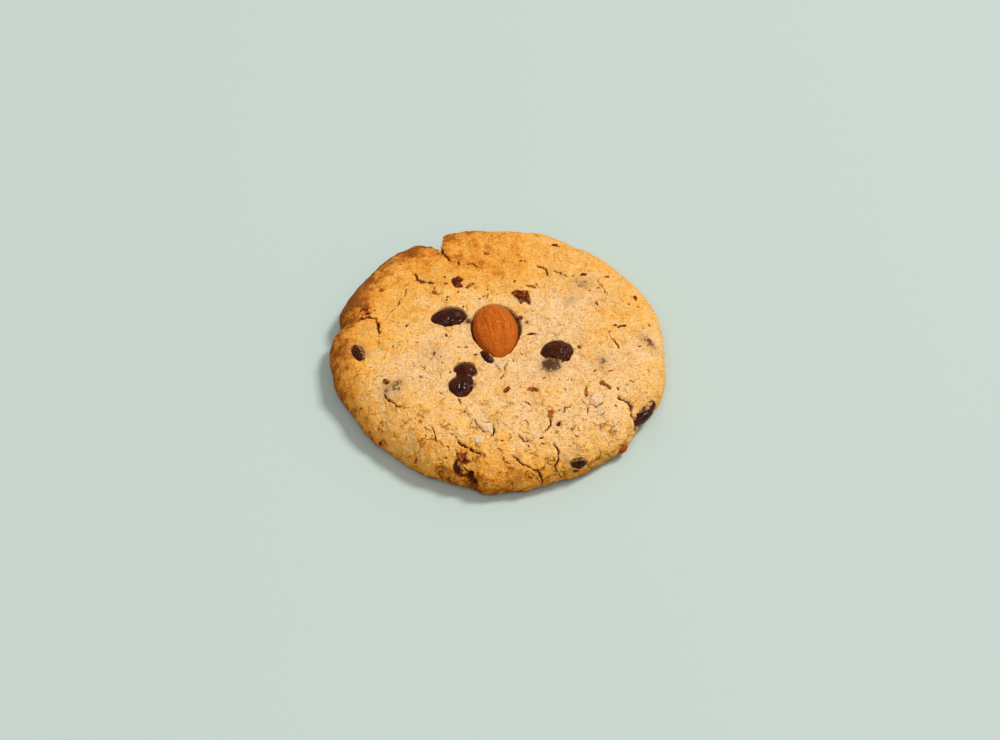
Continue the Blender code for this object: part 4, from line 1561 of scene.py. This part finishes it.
    def build(self, shift: Array) -> bpy.types.Object:
        """Make the dough.

        Args:
            shift: Move from the shape's own middle to the CAD frame, in millimetres.

        Returns:
            The finished object.
        """
        places, faces, ring = self.triangulate()
        x, y = places.T
        height, dark = self.relief(x, y)
        stain_and_shade = np.zeros_like(x)
        grey = patch_sum(x, y, GREY_AND_SHADE_PATCHES)
        for pod in PODS:
            near = np.hypot(x - pod.x, y - pod.y) < pod.length * 0.75 + 3
            height[near], stained_or_shaded, film = self.bed(pod, x[near], y[near], height[near])
            stain_and_shade[near] = np.maximum(stain_and_shade[near], stained_or_shaded)
            grey[near] = np.maximum(grey[near], film)
        points = SKIN.lifted(x, y, height)
        points[:, :2] += shift
        low, high = (np.array(corner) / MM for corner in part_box("dough"))
        points = np.clip(points, low, (high[0], high[1], np.inf))
        faces.append(ring[::-1])
        obj = new_piece("baked_dough", points, faces, self.finish.material())
        # Browning, with painted shade on the rim and near the base
        browned = self.browning(x, y) + 0.20 * self.waves(x, y)
        crazed = 0.25 + 0.65 * np.clip((-24 - y) / 14, 0, 1)
        for name, values in zip(NUMBERS, (browned, dark, crazed, grey, stain_and_shade)):
            keep_numbers(obj, name, values)
        return self.cut_gap(obj, shift)

    @staticmethod
    def cut_gap(obj: bpy.types.Object, shift: Array) -> bpy.types.Object:
        """Take the missing wedge out of the rim.

        Args:
            obj: The dough.
            shift: Move from the shape's own middle to the CAD frame, in millimetres.

        Returns:
            The same object with its cut mesh.
        """
        cutter = RimGap().build(shift)
        modifier = obj.modifiers.new("gap", "BOOLEAN")
        modifier.operation = "DIFFERENCE"
        modifier.solver = "EXACT"
        modifier.object = cutter
        bpy.context.view_layer.update()
        mesh = bpy.data.meshes.new_from_object(obj.evaluated_get(bpy.context.evaluated_depsgraph_get()))
        obj.modifiers.remove(modifier)
        Dough.refill_numbers(mesh, (obj.data, cutter.data))
        mesh.name = obj.name
        obj.data = mesh
        bpy.data.objects.remove(cutter)
        return obj

    @staticmethod
    def refill_numbers(mesh: bpy.types.Mesh, sources: tuple[bpy.types.Mesh, ...]) -> None:
        """Give each vertex the numbers of the nearest one from before the cut, because new ones have none.

        Args:
            mesh: The cut mesh.
            sources: Meshes of the whole dough and the cutter.
        """
        spots = [vertex.co.copy() for source in sources for vertex in source.vertices]
        tree = KDTree(len(spots))
        for index, spot in enumerate(spots):
            tree.insert(spot, index)
        tree.balance()
        nearest = np.array([tree.find(vertex.co)[1] for vertex in mesh.vertices])
        for name in NUMBERS:
            known = []
            for source in sources:
                values = np.empty(len(source.vertices), np.float32)
                source.attributes[name].data.foreach_get("value", values)
                known.append(values)
            mesh.attributes[name].data.foreach_set("value", np.concatenate(known)[nearest])

    def browning(self, x: Array, y: Array) -> Array:
        """How browned the skin is, with painted shade added on the rim and near the base, from 0 for pale
        crumb to 1 for dark crust.

        Args:
            x: Places along x on the skin, in millimetres.
            y: Places along y on the skin, in millimetres.

        Returns:
            Browning at each place.
        """
        travel, angle = np.hypot(x, y), np.arctan2(y, x)
        over = (travel - SKIN.rim_radius(angle) + SKIN.shape.shoulder) / float(SKIN.travel[-1])
        rim = np.clip((over - 0.10) / 0.75, 0, 1)
        # The rim's darkening is partly browning, partly painted shade
        baked = self.rim_brown_and_shade + lobe_sum(np.degrees(angle), RIM_BROWNING_AND_SHADE)
        level = self.pale + patch_sum(x, y, TONE_AND_SHADE_PATCHES) + rim**1.3 * baked
        # Darker towards the base: partly browning, partly painted shade where the low rim gets no bounced
        # light
        return level + self.base_brown_and_shade * np.clip((over - 0.72) / 0.28, 0, 1)


def pod_piece(
    pod: Pod,
    rings: int,
    sides: int,
    sag: Callable[[float, float], float],
    shift: Array,
    finish: bpy.types.Material,
) -> bpy.types.Object:
    """A pod as a closed mesh of rings from its tail to its tip, laid in its place.

    Args:
        pod: The pod's sizes and place.
        rings: Steps from tail to tip.
        sides: Steps round it.
        sag: Share of the girth lost at (u, angle), which makes its wrinkles.
        shift: Move from the shape's own middle to the CAD frame, in millimetres.
        finish: Its material.

    Returns:
        The object, with a chart of (round, along) and the wrinkles' height as an attribute.
    """
    place = SKIN.frame_at(pod.x, pod.y, pod.turn, -pod.sunk)
    vertices = [(-pod.length / 2, 0.0, 0.0)]
    ridge = [0.5]
    chart = [(0.5, 0.0)]
    for ring in range(1, rings):
        u = -math.cos(math.pi * ring / rings)
        girth = float(pod.girth(np.array(u)))
        for side in range(sides):
            angle = math.tau * side / sides - math.pi / 2
            loss = sag(u, angle)
            reach = girth * (1 - loss)
            across, up = pod.width / 2 * reach * math.cos(angle), pod.height / 2 * reach * math.sin(angle)
            vertices.append((pod.length / 2 * u, across, up))
            ridge.append(1 - loss)
            chart.append((side / sides, ring / rings))
    vertices.append((pod.length / 2, 0.0, 0.0))
    ridge.append(0.5)
    chart.append((0.5, 1.0))
    last = len(vertices) - 1
    faces = []
    for side in range(sides):
        after = (side + 1) % sides
        faces.append([0, 1 + after, 1 + side])
        for ring in range(rings - 2):
            low = 1 + ring * sides
            faces.append([low + side, low + after, low + sides + after, low + sides + side])
        faces.append([last - sides + side, last - sides + after, last])
    laid = np.array([place @ (Vector(v) * MM) for v in vertices]) / MM
    laid[:, :2] += shift
    laid = np.clip(laid, *(np.array(corner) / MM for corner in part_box(pod.name)))
    obj = new_piece(pod.name + "_skin", laid, faces, finish)
    low, high = min(ridge), max(ridge)
    keep_numbers(obj, "Ridge", (np.array(ridge) - low) / max(high - low, 1e-6))
    layer = obj.data.uv_layers.new(name="chart")
    for loop in obj.data.loops:
        layer.data[loop.index].uv = chart[loop.vertex_index]
    return obj


@dataclass
class Almond:
    """The whole almond in its skin."""

    finish: AlmondFinish = field(default_factory=lambda: AlmondFinish("almond_skin", 0.5, 0.05))
    rings: int = 110
    sides: int = 150
    furrow_depth: float = 0.014

    def sag(self, u: float, angle: float) -> float:
        """Shallow lengthwise furrows that fade towards both ends.

        Args:
            u: Position along the almond, from -1 to 1.
            angle: Direction round it, in radians.

        Returns:
            Share of the girth lost.
        """
        spot = Vector((math.cos(angle) * 4.2, math.sin(angle) * 4.2, u * 0.7))
        furrow = 1 - min(1.0, abs(perlin.noise(spot)) * 3.0)
        return self.furrow_depth * furrow * (1 - u**4)

    def build(self, shift: Array) -> bpy.types.Object:
        """Make the almond."""
        return pod_piece(ALMOND, self.rings, self.sides, self.sag, shift, self.finish.material())


@dataclass
class Raisins:
    """The raisins that show, each wrinkled its own way."""

    finish: RaisinFinish = field(default_factory=lambda: RaisinFinish("raisin_skin", 0.10, 0.15))
    rings: int = 56
    sides: int = 84
    crease_width: float = 0.08
    crease_depth: float = 0.13
    nick_width: float = 0.09
    nick_depth: float = 0.07
    dent_depth: float = 0.10
    swell: float = 0.05

    def build(self, shift: Array) -> list[bpy.types.Object]:
        """Make every raisin.

        Args:
            shift: Move from the shape's own middle to the CAD frame, in millimetres.

        Returns:
            The raisins, in the order of RAISINS.
        """
        finish = self.finish.material()
        return [
            pod_piece(pod, self.rings, self.sides, self.wrinkles(7.3 * seed), shift, finish)
            for seed, pod in enumerate(RAISINS)
        ]

    def wrinkles(self, offset: float) -> Callable[[float, float], float]:
        """Rule for deep lengthwise creases between puffed folds.

        Args:
            offset: Move of the pattern, so that no two raisins are alike.

        Returns:
            Rule for the share of the girth lost at (u, angle).
        """

        def sag(u: float, angle: float) -> float:
            """Share of the girth lost to creases.

            Args:
                u: Position along the raisin, from -1 to 1.
                angle: Direction round it, in radians.

            Returns:
                Share of the girth lost.
            """
            long = Vector((math.cos(angle) * 2.4, math.sin(angle) * 2.4, u + offset))
            short = Vector((math.cos(angle) * 4.6, math.sin(angle) * 4.6, u * 2.4 - offset))
            crease = math.exp(-((perlin.noise(long) / self.crease_width) ** 2))
            nick = math.exp(-((perlin.noise(short) / self.nick_width) ** 2))
            dent = 0.5 + 0.5 * perlin.noise(long * 0.6 + Vector((9.1, 3.7, 1.3)))
            return self.crease_depth * crease + self.nick_depth * nick + self.dent_depth * dent - self.swell

        return sag


@dataclass
class NutChips:
    """The broken nut pieces and flakes, one joined piece for each side that shows.

    Each level has its share of the outline, and the least and greatest share of how proud the chip stands.
    """

    levels: tuple[Triple, ...] = (
        (1.0, 0.0, 0.3),
        (0.88, 0.4, 1.0),
        (0.62, 0.5, 1.25),
        (0.32, 0.5, 1.3),
    )
    ragged: tuple[float, float] = (0.8, 1.08)
    deepest_width: float = 1.8

    def chip(self, chip: Chip, seed: int, dough: Dough) -> tuple[list[Array], list[list[int]]]:
        """One chip as rings round its ragged outline.

        Args:
            chip: The chip.
            seed: Seed of its raggedness.
            dough: The dough it lies in.

        Returns:
            Vertices in the shape's own frame, and faces that look outward.
        """
        draw = random.Random(seed)
        outline = chip.outline(seed)
        middle = outline.mean(axis=0)
        count = len(outline)
        surface = float(dough.relief(np.array((chip.x,), float), np.array((chip.y,), float))[0][0])
        depth = chip.proud + min(chip.width, self.deepest_width) * 0.6
        vertices = []
        levels = ((0.8, -depth, -depth), *self.levels)
        for share, low, high in levels:
            ring = middle + (outline - middle) * share
            if share < 0.9 and low > 0:
                reach = np.array([draw.uniform(*self.ragged) for _ in ring])
                ring = middle + (ring - middle) * reach[:, None]
            for px, py in ring:
                level = low if low < 0 else chip.proud * draw.uniform(low, high)
                vertices.append(SKIN.lifted(np.array(px), np.array(py), np.array(surface + level)))
        centre = np.array(surface + chip.proud * draw.uniform(0.8, 1.1))
        vertices.append(SKIN.lifted(np.array(middle[0]), np.array(middle[1]), centre))
        faces = [list(range(count))[::-1]]
        last = (len(levels) - 1) * count
        for ring in range(len(levels) - 1):
            for k in range(count):
                low, after = ring * count + k, ring * count + (k + 1) % count
                faces += [[low, after, after + count], [low, after + count, low + count]]
        faces += [[last + k, last + (k + 1) % count, last + count] for k in range(count)]
        return vertices, faces

    def build(self, dough: Dough, shift: Array) -> list[bpy.types.Object]:
        """Make the chips of each kind.

        Args:
            dough: The dough that they lie in.
            shift: Move from the shape's own middle to the CAD frame, in millimetres.

        Returns:
            The pieces.
        """
        flakes = [
            Chip(x, y, 1.0 + 0.4 * (k % 3), 0.6 + 0.15 * (k % 2), 47.0 * k, 0.2, shows)
            for shows, places in FLAKES.items()
            for k, (x, y) in enumerate(places)
        ]
        pieces = []
        low, high = (np.array(corner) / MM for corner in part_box("dough"))
        for shows, finish in NUT_FINISHES.items():
            vertices: list[Array] = []
            faces: list[list[int]] = []
            for seed, chip in enumerate((*CHIPS, *flakes)):
                if chip.shows is shows:
                    own_vertices, own_faces = self.chip(chip, seed, dough)
                    faces += [[v + len(vertices) for v in face] for face in own_faces]
                    vertices += own_vertices
            points = np.array(vertices)
            points[:, :2] += shift
            points = np.clip(points, low, (high[0], high[1], np.inf))
            obj = new_piece("nut_chips_" + shows.value, points, faces, finish.material())
            obj.data.shade_flat()
            pieces.append(obj)
        return pieces


@dataclass
class Scatter:
    """Flecks or crumbs strewn over the crust by a Geometry Nodes tree."""

    name: str
    finish: Finish
    per_square_metre: float
    smallest: Triple
    largest: Triple
    seed: int
    subdivisions: int = 1
    tilt: float = 0.35

    def tree(self) -> bpy.types.NodeTree:
        """The tree: points on the crust, a small stone on each, turned and sized at random.

        Returns:
            The tree.
        """
        tree = bpy.data.node_groups.new(self.name + "_scatter", "GeometryNodeTree")
        tree.interface.new_socket("Geometry", in_out="OUTPUT", socket_type="NodeSocketGeometry")
        for label, kind in (
            ("Crust", "NodeSocketGeometry"),
            ("Density", "NodeSocketFloat"),
            ("Smallest", "NodeSocketVector"),
            ("Largest", "NodeSocketVector"),
            ("Seed", "NodeSocketInt"),
            ("Finish", "NodeSocketMaterial"),
        ):
            tree.interface.new_socket(label, in_out="INPUT", socket_type=kind)
        graph = Graph(tree)
        given = graph.add("NodeGroupInput").outputs
        spread = graph.add("GeometryNodeInputNamedAttribute", {"data_type": "FLOAT"}, {"Name": "Strewn"})
        density = Value(graph, spread.outputs["Attribute"]) * given["Density"]
        points = graph.add(
            "GeometryNodeDistributePointsOnFaces",
            {"distribute_method": "RANDOM"},
            {"Mesh": given["Crust"], "Density": density, "Seed": given["Seed"]},
        )
        tilt = self.tilt
        spin = graph.add(
            "FunctionNodeRandomValue",
            {"data_type": "FLOAT_VECTOR"},
            {"Min": (-tilt, -tilt, 0.0), "Max": (tilt, tilt, math.tau), "Seed": given["Seed"]},
        )
        turn = graph.add("FunctionNodeEulerToRotation", None, {0: spin.outputs["Value"]})
        lay = graph.add(
            "FunctionNodeRotateRotation",
            {"rotation_space": "LOCAL"},
            {"Rotation": points.outputs["Rotation"], "Rotate By": turn.outputs[0]},
        )
        size = graph.add(
            "FunctionNodeRandomValue",
            {"data_type": "FLOAT_VECTOR"},
            {"Min": given["Smallest"], "Max": given["Largest"], "Seed": given["Seed"]},
        )
        ball = {"Radius": 0.5, "Subdivisions": self.subdivisions}
        stone = graph.add("GeometryNodeMeshIcoSphere", None, ball)
        strewn = graph.add(
            "GeometryNodeInstanceOnPoints",
            None,
            {
                "Points": points.outputs["Points"],
                "Instance": stone.outputs["Mesh"],
                "Rotation": lay.outputs[0],
                "Scale": size.outputs["Value"],
            },
        )
        real = graph.add("GeometryNodeRealizeInstances", None, {0: strewn.outputs[0]})
        dress = {"Geometry": real.outputs[0], "Material": given["Finish"]}
        dressed = graph.add("GeometryNodeSetMaterial", None, dress)
        graph.add("NodeGroupOutput", None, {0: dressed.outputs[0]})
        return tree

    def build(self, crust: bpy.types.Object, strewn: Array) -> bpy.types.Object:
        """Scatter over a copy of the crust and keep the result as a plain mesh.

        Args:
            crust: The dough to strew.
            strewn: Share of the density at each of its vertices.

        Returns:
            The finished object.
        """
        obj = bpy.data.objects.new(self.name, crust.data.copy())
        bpy.context.scene.collection.objects.link(obj)
        keep_numbers(obj, "Strewn", strewn)
        tree = self.tree()
        modifier = obj.modifiers.new("scatter", "NODES")
        modifier.node_group = tree
        values = {
            "Density": self.per_square_metre,
            "Smallest": tuple(v * MM for v in self.smallest),
            "Largest": tuple(v * MM for v in self.largest),
            "Seed": self.seed,
            "Finish": self.finish.material(),
        }
        for item in tree.interface.items_tree:
            if item.in_out == "INPUT" and item.name in values:
                modifier[item.identifier] = values[item.name]
        bpy.context.view_layer.update()
        evaluated = obj.evaluated_get(bpy.context.evaluated_depsgraph_get())
        mesh = bpy.data.meshes.new_from_object(evaluated)
        mesh.name = self.name
        obj.modifiers.remove(modifier)
        obj.data = mesh
        mesh.shade_smooth()
        return obj


DARK_FLECK = NutFinish("fleck_dark", 0.7, 0.1, (0.170, 0.050, 0.010), (0.340, 0.110, 0.020))
ORANGE_FLECK = NutFinish("fleck_orange", 0.7, 0.1, (0.520, 0.150, 0.018), (0.400, 0.100, 0.010))
CRUMB = NutFinish("crumb_pale", 0.9, 0.05, (0.780, 0.420, 0.120), (0.740, 0.330, 0.055))

SCATTERS = (
    Scatter("dark_flecks", DARK_FLECK, 26000, (0.25, 0.15, 0.08), (1.00, 0.42, 0.22), 3),
    Scatter("orange_flecks", ORANGE_FLECK, 14000, (0.35, 0.2, 0.08), (1.3, 0.55, 0.22), 4),
    Scatter("pale_crumbs", CRUMB, 200000, (0.25, 0.25, 0.12), (0.95, 0.80, 0.45), 5),
)


# Name, place, size and power of each lamp, in metres and watts
LIGHTS = (
    ("key_light", (2.08, 0.97, 3.28), 0.95, 124.0),
    ("fill_light", (-0.5, -2.1, 3.4), 2.5, 40.0),
)


@dataclass
class Studio:
    """Pale floor, soft lights and the camera at the photograph's angle."""

    elevation: float = 47.5
    distance: float = 603.98
    aim: tuple[float, float] = (0.807, -1.798)
    lens: float = 70.0
    sensor: float = 36.0
    floor_half: float = 4000.0
    world_light: float = 0.42
    world_colour: Colour = (1.0, 0.985, 0.96)
    floor_finish: FloorFinish = field(default_factory=lambda: FloorFinish("floor", 0.8, 0.1))

    def build(self) -> None:
        """Set the stage."""
        scene = bpy.context.scene
        scene.view_settings.view_transform = "Standard"
        self.floor()
        self.camera()
        self.world()
        for light in LIGHTS:
            self.light(*light)

    def floor(self) -> None:
        """A wide plain floor under the cookie."""
        half = self.floor_half
        corners = np.array(((-half, -half, 0), (half, -half, 0), (half, half, 0), (-half, half, 0)))
        new_piece("floor", corners, [[0, 1, 2, 3]], self.floor_finish.material())

    def camera(self) -> None:
        """The camera, looking along +Y and down."""
        data = bpy.data.cameras.new("camera")
        data.lens = self.lens
        data.sensor_width = self.sensor
        obj = bpy.data.objects.new("camera", data)
        slope = math.radians(self.elevation)
        target = Vector((*self.aim, 0.0)) * MM
        obj.location = target + Vector((0, -math.cos(slope), math.sin(slope))) * self.distance * MM
        obj.rotation_euler = (math.pi / 2 - slope, 0, 0)
        bpy.context.scene.collection.objects.link(obj)
        bpy.context.scene.camera = obj

    def world(self) -> None:
        """Even pale light from all round."""
        world = bpy.data.worlds.new("surroundings")
        world.use_nodes = True
        background = world.node_tree.nodes["Background"]
        background.inputs["Color"].default_value = (*self.world_colour, 1.0)
        background.inputs["Strength"].default_value = self.world_light
        bpy.context.scene.world = world

    @staticmethod
    def light(name: str, place: Triple, size: float, power: float) -> None:
        """A square soft light that faces the cookie.

        Args:
            name: Name of the lamp.
            place: Its place, in metres.
            size: Length of its side, in metres.
            power: Its power, in watts.
        """
        data = bpy.data.lights.new(name, "AREA")
        data.energy = power
        data.size = size
        obj = bpy.data.objects.new(name, data)
        obj.location = place
        obj.rotation_euler = (-Vector(place)).to_track_quat("-Z", "Y").to_euler()
        bpy.context.scene.collection.objects.link(obj)


def centring() -> Array:
    """Move in x and y from the shape's own middle to the CAD frame, read off the almond's place.

    Returns:
        The move, in millimetres.
    """
    low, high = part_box("almond")
    place = SKIN.frame_at(ALMOND.x, ALMOND.y, ALMOND.turn, -ALMOND.sunk)
    u = np.linspace(-1, 1, 201)
    half = ALMOND.girth(u) * ALMOND.width / 2
    edge = [(ALMOND.length / 2 * a, side * b, 0) for a, b in zip(u, half) for side in (-1, 1)]
    rim = [place @ (Vector(point) * MM) for point in edge]
    own = np.array(rim)[:, :2]
    middle = (own.min(axis=0) + own.max(axis=0)) / 2
    return (np.array((low + high)[:2]) / 2 - middle) / MM


# Crumbs start at this height, and are full in number at twice it
CRUMB_LOWEST = 2.0

# Crumbs keep this far from the sides of the CAD box
CRUMB_ROOM = 0.8


def strewn_share(crust: bpy.types.Object) -> Array:
    """Share of crumbs that each vertex of the crust gets: none low down, in beds or at the box's limit.

    Args:
        crust: The dough.

    Returns:
        Shares from 0 to 1.
    """
    count = len(crust.data.vertices)
    corners, stain_and_shade, browned, grey = np.empty(count * 3), np.empty(count), np.empty(count), np.empty(count)
    crust.data.vertices.foreach_get("co", corners)
    for name, values in (("Stain", stain_and_shade), ("Browning", browned), ("Grey", grey)):
        crust.data.attributes[name].data.foreach_get("value", values)
    stain_and_shade += np.clip(grey - 0.3, 0, 1)
    spots = corners.reshape(-1, 3) / MM
    low, high = (np.array(corner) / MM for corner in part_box("dough"))
    room = np.minimum(spots[:, :2] - low[:2], high[:2] - spots[:, :2]).min(axis=1)
    share = np.clip((spots[:, 2] - CRUMB_LOWEST) / CRUMB_LOWEST, 0, 1) * (room > CRUMB_ROOM)
    return share * (1 - np.clip(stain_and_shade * 4, 0, 1)) * np.clip(1.1 - 1.7 * browned, 0.02, 1)


def main() -> None:
    """Build the cookie's looks around its frame."""
    logging.basicConfig(level=logging.INFO, format="%(message)s")
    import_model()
    shift = centring()
    LOG.info("shift %s", shift)

    dough = Dough()
    crust = dough.build(shift)
    toppings = {ALMOND.name: Almond().build(shift)}
    toppings |= {pod.name: piece for pod, piece in zip(RAISINS, Raisins().build(shift))}
    chips = NutChips().build(dough, shift)
    strewn = strewn_share(crust)
    specks = [scatter.build(crust, strewn) for scatter in SCATTERS]

    for piece in [crust, *chips, *specks]:
        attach(piece, "root")
        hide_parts("dough")
    for node, piece in toppings.items():
        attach(piece, "root")
        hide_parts(node)
    for piece in [crust, *toppings.values(), *chips, *specks]:
        LOG.info("%s: %d triangles", piece.name, sum(len(p.vertices) - 2 for p in piece.data.polygons))
    Studio().build()
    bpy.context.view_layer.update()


if __name__ == "__main__":
    main()
